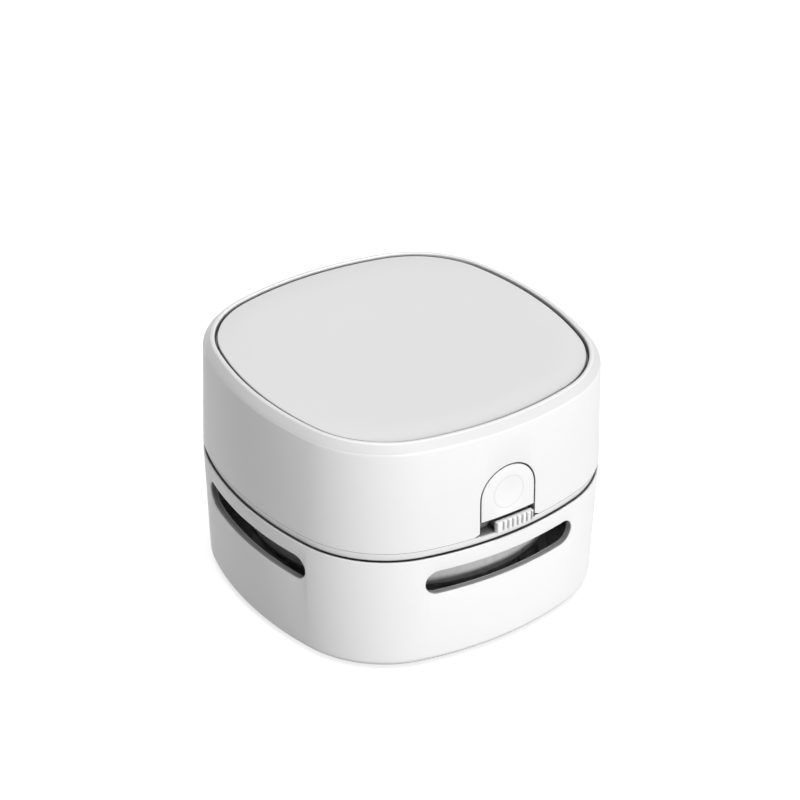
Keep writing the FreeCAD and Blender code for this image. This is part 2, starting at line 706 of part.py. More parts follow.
def upper_shell():
    shell = upper_body().cut(upper_inside())
    bosses = [peg(SHELL_BOSS_RADIUS, BAND_TOP, LEDGE_BOTTOM, x, y) for x, y in shell_boss_points()]
    shell = shell.fuse([b.common(upper_body()) for b in bosses])
    hole = SCREW_RADIUS + SCREW_CLEARANCE
    cuts = [slab(LID_OPENING, LEDGE_TOP, BODY_HEIGHT)]
    cuts.append(slab(LID_OPENING + LEDGE_WIDTH, LEDGE_BOTTOM, BODY_HEIGHT))
    cuts += [peg(hole, BAND_TOP, BAND_TOP + SCREW_LENGTH, x, y) for x, y in shell_boss_points()]
    cuts.append(arch(OPENING_HALF_WIDTH, BAND_TOP, -BODY_WIDTH, -HALF / 2))
    cuts += opening_notches()
    return shell.cut(cuts).removeSplitter()


def chassis_screws():
    return Part.makeCompound([screw(x, y, DECK_BOTTOM, 1) for x, y in shell_boss_points()])


def cup_seal():
    return ring(CUP_RADIUS - SEAL_INSET, CUP_BORE, CUP_RIM_HEIGHT + NEAR, DECK_BOTTOM)


def filter_bottom():
    return DECK_BOTTOM - FILTER_DEPTH


def filter_frame():
    """Basket under the deck: a rim, a hub ring and eight spokes under the pad."""
    outer = CUP_BORE - FIT
    low = filter_bottom()
    frame = ring(outer, outer - FILTER_RIM, low, DECK_BOTTOM)
    parts = [ring(outer, outer - FILTER_RIM * 2, low, low + FILTER_BAR)]
    parts.append(ring(outer / 2, outer / 2 - FILTER_BAR, low, low + FILTER_BAR))
    reach = outer - FILTER_RIM
    for index in range(FILTER_SPOKES // 2):
        bar = block(-reach, reach, -FILTER_BAR / 2, FILTER_BAR / 2, low, low + FILTER_BAR)
        bar.rotate(vec(0, 0, 0), vec(0, 0, 1), 360 * index / FILTER_SPOKES)
        parts.append(bar)
    return fused(frame, *parts)


def filter_pad():
    radius = CUP_BORE - FIT - FILTER_RIM - SCREW_CLEARANCE
    return disc(radius, filter_bottom() + FILTER_BAR, DECK_BOTTOM)


def blade():
    """One swept fan blade: a bowed strip from the inlet's edge out to the rim."""
    rim = FAN_RADIUS - BLADE_THICKNESS
    sweep = math.radians(BLADE_SWEEP)
    start = vec(INLET_RADIUS, 0, FAN_BOTTOM)
    end = vec(rim * math.cos(sweep), rim * math.sin(sweep), FAN_BOTTOM)
    chord = (end - start).normalize()
    aside = vec(chord.y, -chord.x, 0)
    middle = (start + end) / 2 + aside * BLADE_BOW
    step = aside * BLADE_THICKNESS
    edges = [
        Part.Arc(start, middle, end).toShape(),
        Part.LineSegment(end, end + step).toShape(),
        Part.Arc(end + step, middle + step, start + step).toShape(),
        Part.LineSegment(start + step, start).toShape(),
    ]
    return Part.Face(Part.Wire(edges)).extrude(vec(0, 0, BLADE_HEIGHT))


def impeller():
    """Backplate on top, curved blades below it, and a hub on the motor's shaft."""
    parts = [disc(FAN_HUB_RADIUS, FAN_BOTTOM + FAN_HUB_RISE, FAN_TOP)]
    for index in range(BLADE_COUNT):
        copy = blade()
        copy.rotate(vec(0, 0, 0), vec(0, 0, 1), index * 360 / BLADE_COUNT)
        parts.append(copy)
    wheel = fused(disc(FAN_RADIUS, FAN_TOP - FAN_PLATE, FAN_TOP), *parts)
    return wheel.cut(disc(SHAFT_RADIUS + SHAFT_PLAY / 2, 0, BODY_HEIGHT))


def motor_shaft():
    return disc(SHAFT_RADIUS, FAN_BOTTOM + FAN_HUB_RISE, MOTOR_TOP - 2 * SHAFT_END_GAP)


def motor_can():
    """Flat round motor with a bearing nose that passes through the tray's deck."""
    can = disc(MOTOR_RADIUS, TRAY_TOP, MOTOR_TOP)
    nose = disc(MOTOR_NOSE_RADIUS, TRAY_BOTTOM, TRAY_TOP)
    return fused(can, nose).cut(disc(SHAFT_RADIUS + SHAFT_PLAY, 0, MOTOR_TOP - SHAFT_END_GAP))


def motor_end_cap():
    return disc(MOTOR_CAP_RADIUS, MOTOR_TOP, MOTOR_TOP + MOTOR_CAP_HEIGHT)


def motor_terminals():
    low = MOTOR_TOP + MOTOR_CAP_HEIGHT
    half = TERMINAL_WIDTH / 2
    tab = block(TERMINAL_SPREAD, TERMINAL_SPREAD + CONTACT_THICKNESS, -half, half, low, low + TERMINAL_HEIGHT)
    return Part.makeCompound(both_sides(tab))


def battery_tray():
    """Deck over the fan with the motor well and a frame of walls round the two cells."""
    deck = slab(WALL + UPPER_DRAFT + NEAR, TRAY_BOTTOM, TRAY_TOP)
    wall_top = TRAY_TOP + TRAY_WALL_HEIGHT
    long = TROUGH_HALF_LENGTH + TRAY_WALL
    frame = block(-long, long, -TROUGH_OUTER, TROUGH_OUTER, TRAY_TOP, wall_top)
    frame = frame.common(slab(WALL + UPPER_DRAFT + NEAR, TRAY_TOP, wall_top))
    room = block(-TROUGH_HALF_LENGTH, TROUGH_HALF_LENGTH, -TROUGH_OUTER + TRAY_WALL, TROUGH_OUTER - TRAY_WALL,
                 TRAY_TOP, wall_top)
    walls = [frame.cut(room)]
    for side in (1, -1):
        y = side * (TROUGH_INNER + TRAY_WALL / 2)
        half = CELL_LENGTH / 2
        walls.append(block(-half, half, y - TRAY_WALL / 2, y + TRAY_WALL / 2, TRAY_TOP, wall_top))
    tray = deck.fuse(walls)
    cuts = [disc(MOTOR_NOSE_RADIUS + SCREW_CLEARANCE, 0, TRAY_TOP)]
    cuts += [peg(SCREW_RADIUS + SCREW_CLEARANCE, 0, BODY_HEIGHT, x, y) for x, y in tray_screw_points()]
    cuts += [peg(SHELL_BOSS_RADIUS + NEAR, 0, BODY_HEIGHT, x, y) for x, y in shell_boss_points()]
    notch = HOOK_OFFSET + HOOK_WIDTH
    cuts.append(block(-notch, notch, -BODY_WIDTH, -TROUGH_OUTER, 0, BODY_HEIGHT))
    return tray.cut(cuts).removeSplitter()


def tray_screws():
    return Part.makeCompound([screw(x, y, TRAY_TOP, -1, TRAY_SCREW_LENGTH) for x, y in tray_screw_points()])


def cell(side):
    """An AA cell along X, with its nipple towards +X at the front and -X at the back."""
    y = side * CELL_OFFSET
    out = -side
    body = Part.makeCylinder(CELL_RADIUS, CELL_LENGTH, vec(-CELL_LENGTH / 2, y, CELL_AXIS), vec(1, 0, 0))
    start = vec(out * CELL_LENGTH / 2, y, CELL_AXIS)
    nipple = Part.makeCylinder(CELL_NIPPLE_RADIUS, CELL_NIPPLE, start, vec(out, 0, 0))
    return fused(body, nipple)


def contact_plate(x, y0, y1):
    inner = min(x, x + math.copysign(CONTACT_THICKNESS, x))
    return block(inner, inner + CONTACT_THICKNESS, y0, y1, TRAY_TOP, CELL_AXIS + CONTACT_HALF_WIDTH)


def contact_bump(side):
    """The raised contact that a cell's nipple touches."""
    out = -side
    start = TROUGH_HALF_LENGTH - CONTACT_THICKNESS
    height = start - CELL_LENGTH / 2 - CELL_NIPPLE - SCREW_CLEARANCE
    base = vec(out * start, side * CELL_OFFSET, CELL_AXIS)
    return Part.makeCone(CELL_NIPPLE_RADIUS, CELL_NIPPLE_RADIUS / 2, height, base, vec(-out, 0, 0))


def contact_bridge():
    x = TROUGH_HALF_LENGTH - CONTACT_THICKNESS
    reach = CELL_OFFSET + CONTACT_HALF_WIDTH
    return fused(contact_plate(x, -reach, reach), contact_bump(-1))


def terminal_contacts():
    x = -TROUGH_HALF_LENGTH + CONTACT_THICKNESS
    near = CELL_OFFSET - CONTACT_HALF_WIDTH
    far = CELL_OFFSET + CONTACT_HALF_WIDTH
    back = fused(contact_plate(x, near, far), contact_bump(1))
    return Part.makeCompound([back, contact_plate(x, -far, -near)])


def contact_springs():
    """The coil at each cell's flat end."""
    length = CONTACT_ROOM - SPRING_WIRE - SCREW_CLEARANCE * 2
    springs = []
    for side in (1, -1):
        spring = coil(CONTACT_COIL_RADIUS, CONTACT_COIL_TIP, length, CONTACT_COIL_TURNS)
        spring.rotate(vec(0, 0, 0), vec(0, 1, 0), -90 * side)
        start = side * (TROUGH_HALF_LENGTH - CONTACT_THICKNESS - SPRING_WIRE / 2 - SCREW_CLEARANCE)
        spring.translate(vec(start, side * CELL_OFFSET, CELL_AXIS))
        springs.append(spring)
    return Part.makeCompound(springs)


def switch_front():
    """Distance from the middle of the slide plate's back face."""
    return side_reach(KNOB_WIDTH, WALL) - 2 * FIT - SLIDE_PLATE


def switch_back():
    """Distance from the middle of the switch board's front face."""
    return switch_front() - 2 * NEAR - SWITCH_DEPTH


def switch_centre():
    return KNOB_REST - KNOB_TRAVEL / 2


def lever_bottom():
    return SWITCH_BOTTOM + (SWITCH_HEIGHT - LEVER_HEIGHT) / 2


def switch_housing():
    """Metal can of the slide switch, with the slot that its lever runs in."""
    middle = switch_centre()
    top = SWITCH_BOTTOM + SWITCH_HEIGHT
    front = switch_front() - 2 * NEAR
    half = SWITCH_LENGTH / 2
    body = block(middle - half, middle + half, -front, -switch_back(), SWITCH_BOTTOM, top)
    reach = (KNOB_TRAVEL + LEVER_WIDTH) / 2 + NEAR
    slot = block(middle - reach, middle + reach, -front, -front + LEVER_REACH,
                 SWITCH_BOTTOM + SWITCH_WALL, top - SWITCH_WALL)
    return body.cut(slot)


def switch_board():
    half = BOARD_HALF_WIDTH
    front = -switch_back()
    return block(-half, half, front, front + BOARD_THICKNESS, BAND_TOP, BAND_TOP + BOARD_HEIGHT)


def switch_pins():
    """The three solder pins that come through the board's back."""
    pins = []
    y = -switch_back() + BOARD_THICKNESS
    low = lever_bottom()
    for step in (-1, 0, 1):
        x = switch_centre() + step * PIN_PITCH - PIN_WIDTH / 2
        pins.append(block(x, x + PIN_WIDTH, y, y + PIN_LENGTH, low, low + PIN_THICKNESS))
    return Part.makeCompound(pins)


# Lid

def top_lid():
    """Grey lid that lies on the shell's ledge, with a shallow skirt inside the opening."""
    plate = slab(LID_OPENING + LID_GAP, LEDGE_TOP, LID_TOP)
    inset = LID_OPENING + LEDGE_WIDTH + FIT
    low = LEDGE_TOP - LID_SKIRT
    skirt = slab(inset, low, LEDGE_TOP).cut(slab(inset + LID_SKIRT_THICKNESS, low, LEDGE_TOP))
    return fused(plate, skirt)


# Release button

def push_button():
    """Arched button flush with the wall, with a finger dish, a neck and a stop flange behind the wall."""
    plate = upper_body().cut(upper_inside())
    plate = plate.common(arch(BUTTON_HALF_WIDTH, BUTTON_BOTTOM, -BODY_WIDTH, -HALF / 2))
    back = hook_front()
    flange_half = BUTTON_HALF_WIDTH + FLANGE_MARGIN
    flange = arch(flange_half, LATCH_BOTTOM, -back - FLANGE_THICKNESS, -back)
    neck = arch(BUTTON_HALF_WIDTH - NECK_INSET, LATCH_BOTTOM, -HALF + WALL, -back - FLANGE_THICKNESS)
    sphere_radius = (DISH_RADIUS ** 2 + DISH_DEPTH ** 2) / (2 * DISH_DEPTH)
    face = HALF - upper_inset(DISH_HEIGHT)
    dish = Part.makeSphere(sphere_radius, vec(0, -face - sphere_radius + DISH_DEPTH, DISH_HEIGHT))
    return fused(plate, neck, flange).cut(dish)


def latch_slider():
    """Frame behind the button whose two arms reach down to hooks under the lower shell's catches."""
    front = hook_front()
    back = front - LATCH_THICKNESS
    half = HOOK_OFFSET + HOOK_WIDTH / 2
    frame = block(-half, half, -front, -back, LATCH_BOTTOM, LATCH_BOTTOM + LATCH_HEIGHT)
    hook_top = SEAM_HEIGHT - CATCH_DROP - CATCH_HEIGHT - NEAR
    hook_low = hook_top - HOOK_HEIGHT
    arm = block(HOOK_OFFSET - HOOK_WIDTH / 2, half, -front, -back, hook_low, LATCH_BOTTOM)
    corners = [(-front, hook_low), (-front, hook_top), (-front - HOOK_DEPTH, hook_top)]
    wedge = Part.Face(Part.makePolygon([vec(half - HOOK_WIDTH, y, z) for y, z in corners + corners[:1]]))
    tooth = wedge.extrude(vec(HOOK_WIDTH, 0, 0))
    parts = both_sides(arm) + both_sides(tooth)
    parts.append(spring_spigot(-back, 1))
    return fused(frame, *parts)


def button_spring():
    length = BRACKET_ROOM - SPRING_WIRE - 2 * SCREW_CLEARANCE
    spring = coil(RETURN_SPRING_RADIUS, RETURN_SPRING_RADIUS, length, RETURN_SPRING_TURNS)
    spring.rotate(vec(0, 0, 0), vec(1, 0, 0), -90)
    start = -hook_front() + LATCH_THICKNESS + SPRING_WIRE / 2 + SCREW_CLEARANCE
    spring.translate(vec(0, start, SPRING_HEIGHT))
    return spring


# Power slide

def slide_knob():
    """Ribbed knob that stands proud of the wall, on a neck that reaches in to the slide."""
    x0 = KNOB_REST - KNOB_WIDTH / 2
    x1 = x0 + KNOB_WIDTH
    front = HALF + KNOB_PROUD
    plate = block(x0, x1, -front, -front + KNOB_PLATE, KNOB_BOTTOM, KNOB_TOP)
    for index in range(RIB_COUNT):
        x = KNOB_REST + RIB_OFFSET + (index - (RIB_COUNT - 1) / 2) * RIB_PITCH
        plate = plate.cut(prism(4, RIB_GROOVE, KNOB_BOTTOM, KNOB_TOP, x, -front))
    inner = switch_front() + SLIDE_PLATE
    neck = block(x0 + KNOB_NECK_INSET, x1 - KNOB_NECK_INSET, -front + KNOB_PLATE, -inner,
                 KNOB_BOTTOM + NEAR, KNOB_TOP - NEAR)
    return fused(plate, neck)


def switch_lever():
    """Black slide behind the knob: a plate that closes the slot, a ledge on it and the switch's lever."""
    front = switch_front()
    inner = front + SLIDE_PLATE
    margin = OPENING_HALF_WIDTH + SLIDE_MARGIN
    cover = block(-margin, margin + KNOB_TRAVEL, -inner, -front, BAND_TOP + SLIDE_PLAY, BUTTON_BOTTOM - NEAR)
    left = -OPENING_HALF_WIDTH + KNOB_TRAVEL + NEAR
    right = KNOB_REST - KNOB_WIDTH / 2 + KNOB_NECK_INSET - NEAR
    middle = (KNOB_BOTTOM + KNOB_TOP) / 2
    ledge = block(left, right, -inner - SLIDE_LEDGE, -inner, middle, middle + SLIDE_LEDGE)
    half = LEVER_WIDTH / 2
    low = lever_bottom()
    lever = block(KNOB_REST - half, KNOB_REST + half, -front, -front + LEVER_REACH, low, low + LEVER_HEIGHT)
    return fused(cover, ledge, lever)


def build():
    os.makedirs("parts", exist_ok=True)
    pieces = [
        lower_shell, base_plate, brush_ring, bristle_tufts, rubber_feet, base_screws, dust_cup, inlet_seal,
        deflector_cap, chassis, upper_shell, chassis_screws, cup_seal, filter_frame, filter_pad, battery_tray,
        tray_screws, motor_can, motor_end_cap, motor_terminals, impeller, motor_shaft, contact_bridge,
        terminal_contacts, contact_springs, switch_housing, switch_board, switch_pins, top_lid, push_button,
        latch_slider, button_spring, slide_knob, switch_lever,
    ]
    for piece in pieces:
        write(piece.__name__, piece())
    write("battery_front", cell(-1))
    write("battery_rear", cell(1))


build()
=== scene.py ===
"""Looks of the desktop mini vacuum cleaner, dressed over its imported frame.

Sizes are in millimetres and become metres where a mesh is made. +Z is up and the button faces -Y.
"""
import json
import math
import bpy
import bmesh
from mathutils import Matrix, Vector


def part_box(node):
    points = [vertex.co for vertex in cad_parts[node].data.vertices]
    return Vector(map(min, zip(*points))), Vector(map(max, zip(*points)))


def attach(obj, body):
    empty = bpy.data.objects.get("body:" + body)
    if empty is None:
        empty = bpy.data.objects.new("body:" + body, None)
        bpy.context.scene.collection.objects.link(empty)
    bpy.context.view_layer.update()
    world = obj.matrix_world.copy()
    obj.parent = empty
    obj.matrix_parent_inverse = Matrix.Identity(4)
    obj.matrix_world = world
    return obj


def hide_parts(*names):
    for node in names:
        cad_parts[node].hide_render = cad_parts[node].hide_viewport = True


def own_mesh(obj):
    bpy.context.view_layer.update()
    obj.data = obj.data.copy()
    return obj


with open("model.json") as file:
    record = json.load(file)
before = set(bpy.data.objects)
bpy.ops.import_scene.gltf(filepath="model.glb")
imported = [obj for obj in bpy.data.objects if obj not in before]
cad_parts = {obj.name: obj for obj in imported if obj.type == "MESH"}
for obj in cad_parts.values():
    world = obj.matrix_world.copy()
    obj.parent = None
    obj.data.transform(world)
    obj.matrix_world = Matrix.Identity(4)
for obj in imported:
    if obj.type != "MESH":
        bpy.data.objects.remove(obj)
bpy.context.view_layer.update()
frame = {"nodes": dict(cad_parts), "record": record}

MM = 0.001


# Sizes taken from the frame

def lowest(node):
    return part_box(node)[0] / MM


def highest(node):
    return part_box(node)[1] / MM


def extent(node):
    """The lowest and highest z of a round node, and its radius."""
    return lowest(node).z, highest(node).z, highest(node).x


HALF = highest("upper_shell").x
TOP = highest("upper_shell").z
BAND_TOP = lowest("upper_shell").z
SEAM = highest("lower_shell").z
FOOT_LIFT = lowest("lower_shell").z


# Rounds and gaps that many pieces share

FINE_ROUND = 0.1
EDGE_ROUND = 0.15
SMALL_ROUND = 0.2
ROUND = 0.3
WIDE_ROUND = 0.4
BROAD_ROUND = 0.5
FIT_GAP = 0.3
CLEARANCE = 0.1
BITE = 0.1
BEYOND = 1.0

# Outline and walls of the body

SIDE_RADIUS = 82.0
CORNER_RADIUS = 26.9
SIDE_CENTRE = SIDE_RADIUS - HALF
CORNER_CENTRE = (math.sqrt(2 * (SIDE_RADIUS - CORNER_RADIUS) ** 2 - SIDE_CENTRE ** 2) - SIDE_CENTRE) / 2
SIDE_ANGLE = math.atan2(CORNER_CENTRE, CORNER_CENTRE + SIDE_CENTRE)
WALL = 1.9
LIP = 0.45
LIP_DEPTH = 0.4
LOWER_DRAFT = 0.9
UPPER_DRAFT = 0.75
BOTTOM_ROUND = 1.9
FLOOR = 1.8
FLOOR_INSET = 13.5
FLOOR_ROUND = 0.6
RIM_BEVEL = 1.85
RIM_ROUND = 0.55
RIM_TOP_ROUND = 0.35
RIM_EASE = 0.12
RIM_ZONE = 4.0
LID_GAP = 0.45
LID_TOP = highest("top_lid").z
LID_THICKNESS = 1.8
LID_LOW = lowest("top_lid").z
LEDGE_TOP = LID_TOP - LID_THICKNESS
LEDGE_BOTTOM = LEDGE_TOP - 1.6
LEDGE_WIDTH = 2.4
LID_OPENING = HALF - highest("top_lid").x - LID_GAP
LID_SKIRT_INSET = LID_OPENING + LEDGE_WIDTH + 0.25
LID_SKIRT = 1.0
LID_MIDDLE = 12.0

# Slots, cup and base

SLOT_HEIGHT = 6.35
SLOT_HALF_LENGTH = 20.5
SLOT_CENTRE = SEAM - 7.2
SLOT_ROUND = 0.3
COVER_RADIUS = highest("base_plate").x
COVER_THICKNESS = 2.0
COVER_TOP = FOOT_LIFT + COVER_THICKNESS
RECESS_RADIUS = COVER_RADIUS + FIT_GAP
RECESS_TOP = 5.0
WEB = 1.6
FLOOR_OPENING = 28.0

CUP_RADIUS = highest("dust_cup").x
CUP_RIM = highest("dust_cup").z
CUP_LOW = lowest("dust_cup").z
CUP_FLOOR = CUP_RIM - 14.4
CUP_WALL = 1.4
CUP_EDGE = 1.3
CUP_INSIDE_ROUND = 1.0
CHIMNEY_TOP = CUP_FLOOR + 6.5
CHIMNEY_RADIUS = 8.0
CHIMNEY_FOOT_ROUND = 0.8
MOUTH_RADIUS = 16.0


def inlet_radius(z):
    return MOUTH_RADIUS + (CHIMNEY_RADIUS - MOUTH_RADIUS) * (z - CUP_LOW) / (CHIMNEY_TOP - CUP_LOW)


CHIMNEY_FOOT = inlet_radius(CUP_FLOOR)
CHIMNEY_NECK = inlet_radius(CUP_FLOOR + CUP_WALL)

# Button, latch catches and knob

BUTTON_HALF_WIDTH = 7.3
OPENING_HALF_WIDTH = BUTTON_HALF_WIDTH + 0.35
BUTTON_BOTTOM = lowest("push_button").z
BUTTON_ARC_HEIGHT = BUTTON_BOTTOM + 5.4
BUTTON_FACE_ZONE = 1.6
ARCH_STEPS = 24
NOTCH_WIDTH = 1.5
NOTCH_HEIGHT = 0.6
DISH_HEIGHT = BUTTON_ARC_HEIGHT + 0.5
DISH_RADIUS = 4.3
DISH_DEPTH = 0.35
DISH_REACH = DISH_RADIUS * 1.4
DISH_BACK = -DISH_DEPTH * 8
DISH_RINGS = 16
DISH_STEPS = 96
FLANGE_HALF_WIDTH = highest("push_button").x
FLANGE_THICKNESS = 1.5
NECK_HALF_WIDTH = BUTTON_HALF_WIDTH - 1.0
NECK_BITE = 0.3
LATCH_BOTTOM = 37.0
CATCH_X = 12.0
CATCH_HALF_WIDTH = 2.1
CATCH_FRONT = -41.2
CATCH_BACK = -38.95
CATCH_LOW = SEAM - 2.2
CATCH_HIGH = SEAM - 1.0

KNOB_PLATE = 1.3
KNOB_ROUND = 0.25
KNOB_NECK_INSET = 0.5
RIB_COUNT = 7
RIB_PITCH = 1.31
RIB_OFFSET = 0.55
RIB_GROOVE = 0.33
RIB_DEPTH = 0.55

# Screws, posts and feet

SCREW_HEAD_RADIUS = 1.9
SCREW_HEAD = 1.1
SCREW_HEAD_BEVEL = 0.55
SCREW_RADIUS = 1.0
SCREW_CORE = 0.72
SCREW_POINT = 0.6
SCREW_LENGTH = 7.0
SCREW_HOLE = SCREW_RADIUS + CLEARANCE
THREAD_PITCH = 0.7
RECESS_DEPTH = 0.7
RECESS_LENGTH = 2.0
RECESS_WIDTH = 0.5
COVER_SCREW_X = highest("base_screws").x - SCREW_HEAD_RADIUS
HOUSING_SCREW_X = highest("chassis_screws").x - SCREW_HEAD_RADIUS
HOUSING_SCREW_Y = highest("chassis_screws").y - SCREW_HEAD_RADIUS
TRAY_SCREW_X = highest("tray_screws").x - SCREW_HEAD_RADIUS
TRAY_SCREW_Y = highest("tray_screws").y - SCREW_HEAD_RADIUS
TRAY_SCREW_LENGTH = 6.0
TRAY_SCREW_OFFSET = 8.0
POST_RADIUS = 2.9
BOSS_RADIUS = 3.0
FOOT_RADIUS = 3.2
FOOT_X = highest("rubber_feet").x - FOOT_RADIUS
FOOT_TOP = highest("rubber_feet").z
FOOT_PAD_INSET = 0.9
FOOT_EDGE_INSET = 0.25
FOOT_EDGE_HEIGHT = 0.35

# Brush, chimney cap and filter

BRUSH_HALF = 1.8
BRUSH_RADIUS = highest("brush_ring").x - BRUSH_HALF
BRUSH_DEPTH = 3.4
COLLAR_RADIUS = BRUSH_RADIUS + BRUSH_HALF + 1.9
COLLAR_BORE = highest("inlet_seal").x + 0.25
TUFT_COUNT = 24
TUFT_RADIUS = 0.7
HAIR_RADIUS = 0.07
HAIR_ROOT = 0.4
HAIR_SIDES = 6
HAIR_RINGS = 3
HAIR_RING_STEP = 0.42
HAIRS_IN_RING = 6
CAP_LEGS = 3
CAP_LEG_STEPS = 24
CAP_THICKNESS = 1.0
CAP_BEVEL_WIDTH = 0.6
CAP_BEVEL_HEIGHT = 0.45
FILTER_RIM = 1.8
FILTER_BAR = 1.3
FILTER_SPOKES = 8
SPOKE_ROUND = 0.25
SPOKE_SINK = 0.01
FOAM_BEVEL = 1.2
FOAM_EDGE = 0.8
FOAM_ROUND = 0.6
FOAM_EASE = 0.2

# Motor, cells and springs

MOTOR_HEIGHT = 11.0
MOTOR_NOSE = 3.1
MOTOR_BORE = 1.05
MOTOR_ROUND = 0.8
MOTOR_END = 0.5
VENT_HALF_LENGTH = 1.5
VENT_HALF_WIDTH = 0.6
VENT_OFFSET = 6.5
VENT_DEPTH = 0.6
NIPPLE = 1.0
NIPPLE_RADIUS = 2.75
NIPPLE_TAPER = 0.4
CELL_END_SEAT = 0.6
FLAT_INSET = 2.4
FLAT_DEPTH = 0.02
CELL_STEPS = 96
CELL_END_STEPS = 64
WIRE = 0.5
WIRE_SIDES = 10
SPRING_STEPS = 24
RETURN_TURNS = 4
CONTACT_COIL = 4.0
CONTACT_COIL_TIP = 3.0
CONTACT_COIL_LENGTH = 1.8
CONTACT_TURNS = 2

# (inset, depth) corners of the groove round the motor, and (radius, depth) corners of the ring in its end
MOTOR_GROOVE = ((0, 1.6), (0.25, 1.4), (0.25, 1.0), (0, 0.8))
MOTOR_END_RING = ((5.0, 0), (4.6, 0.5), (2.6, 0.5), (2.2, 0))

# (inset, depth, round) corners of a cell's sleeve at its two ends
NIPPLE_CRIMP = ((1.6, 0.5, 0.1), (1.4, 0, 0.2), (0.5, 0, 0.3), (0, 0.7, 0.4))
FLAT_CRIMP = ((0, 0.7, 0.4), (0.5, 0, 0.3), (1.8, 0, 0.2), (2.0, 0.3, 0.1))


# Camera

CAMERA_TARGET = Vector((0.0, 0.0, 30.1))
CAMERA_DISTANCE = 614.1
CAMERA_AZIMUTH = -34.85
CAMERA_ELEVATION = 32.556
CAMERA_ROLL = 0.539
SENSOR = 36.0
FOCAL = 116.73
SHIFT_Y = 0.0636


def camera_axes():
    """Right, up and back of the level camera."""
    azimuth = math.radians(CAMERA_AZIMUTH)
    elevation = math.radians(CAMERA_ELEVATION)
    level = Vector((math.sin(azimuth), -math.cos(azimuth), 0))
    back = level * math.cos(elevation) + Vector((0, 0, math.sin(elevation)))
    right = Vector((math.cos(azimuth), math.sin(azimuth), 0))
    return right, back.cross(right), back


def add_camera():
    right, up, back = camera_axes()
    roll = math.radians(CAMERA_ROLL)
    x_axis = right * math.cos(roll) + up * math.sin(roll)
    y_axis = up * math.cos(roll) - right * math.sin(roll)
    data = bpy.data.cameras.new("camera")
    data.sensor_width = SENSOR
    data.lens = FOCAL
    data.shift_y = SHIFT_Y
    data.clip_start = 0.01
    data.clip_end = 10.0
    camera = bpy.data.objects.new("camera", data)
    bpy.context.scene.collection.objects.link(camera)
    turn = Matrix((x_axis, y_axis, back)).transposed().to_4x4()
    camera.matrix_world = Matrix.Translation((CAMERA_TARGET + back * CAMERA_DISTANCE) * MM) @ turn
    bpy.context.scene.camera = camera


# Shader maths

class Socket:
    """An output socket in a node tree; sums and products of sockets add Math nodes."""

    def __init__(self, tree, output):
        self.tree = tree
        self.output = output

    def node(self, kind, inputs=None, out=0, **settings):
        """Adds a node: its settings first, then values or links for its sockets."""
        made = self.tree.nodes.new(kind)
        for key, value in settings.items():
            if key == "stops":
                set_stops(made.color_ramp, value)
            else:
                setattr(made, key, value)
        for key, value in (inputs or {}).items():
            if isinstance(value, Socket):
                self.tree.links.new(value.output, made.inputs[key])
            else:
                made.inputs[key].default_value = value
        return Socket(self.tree, made.outputs[out])

    def math(self, operation, left, right=0.0):
        return self.node("ShaderNodeMath", {0: left, 1: right}, operation=operation)

    def __add__(self, other):
        return self.math("ADD", self, other)

    def __mul__(self, other):
        return self.math("MULTIPLY", self, other)

    def __sub__(self, other):
        return self.math("SUBTRACT", self, other)

    def __rsub__(self, other):
        return self.math("SUBTRACT", other, self)

    def xyz(self):
        """The three coordinates of this vector."""
        return [self.node("ShaderNodeSeparateXYZ", {0: self}, out=axis) for axis in range(3)]

    def size(self):
        return self.math("ABSOLUTE", self)

    def sign(self):
        return self.math("SIGN", self)

    def root(self):
        return self.math("SQRT", self)

    def larger(self, other):
        return self.math("MAXIMUM", self, other)

    def smaller(self, other):
        return self.math("MINIMUM", self, other)

    def window(self, low, high, fade):
        """1 between two places and 0 outside them, all in millimetres, with soft edges."""
        rise = ((self - low * MM) * (1 / (fade * MM))).clamp()
        fall = ((high * MM - self) * (1 / (fade * MM))).clamp()
        return rise * fall

    def clamp(self):
        return self.node("ShaderNodeMath", {0: self, 1: 0.0}, operation="ADD", use_clamp=True)

    def ramp(self, *stops):
        return self.node("ShaderNodeValToRGB", {0: self}, stops=stops)

    def noise(self, scale, detail=3.0, roughness=0.5):
        """Noise over this vector, with its scale per metre."""
        inputs = {"Vector": self, "Scale": scale, "Detail": detail, "Roughness": roughness}
        return self.node("ShaderNodeTexNoise", inputs)


def set_stops(ramp, stops):
    for element, (place, colour) in zip(ramp.elements, stops):
        element.position = place
        element.color = opaque(colour)


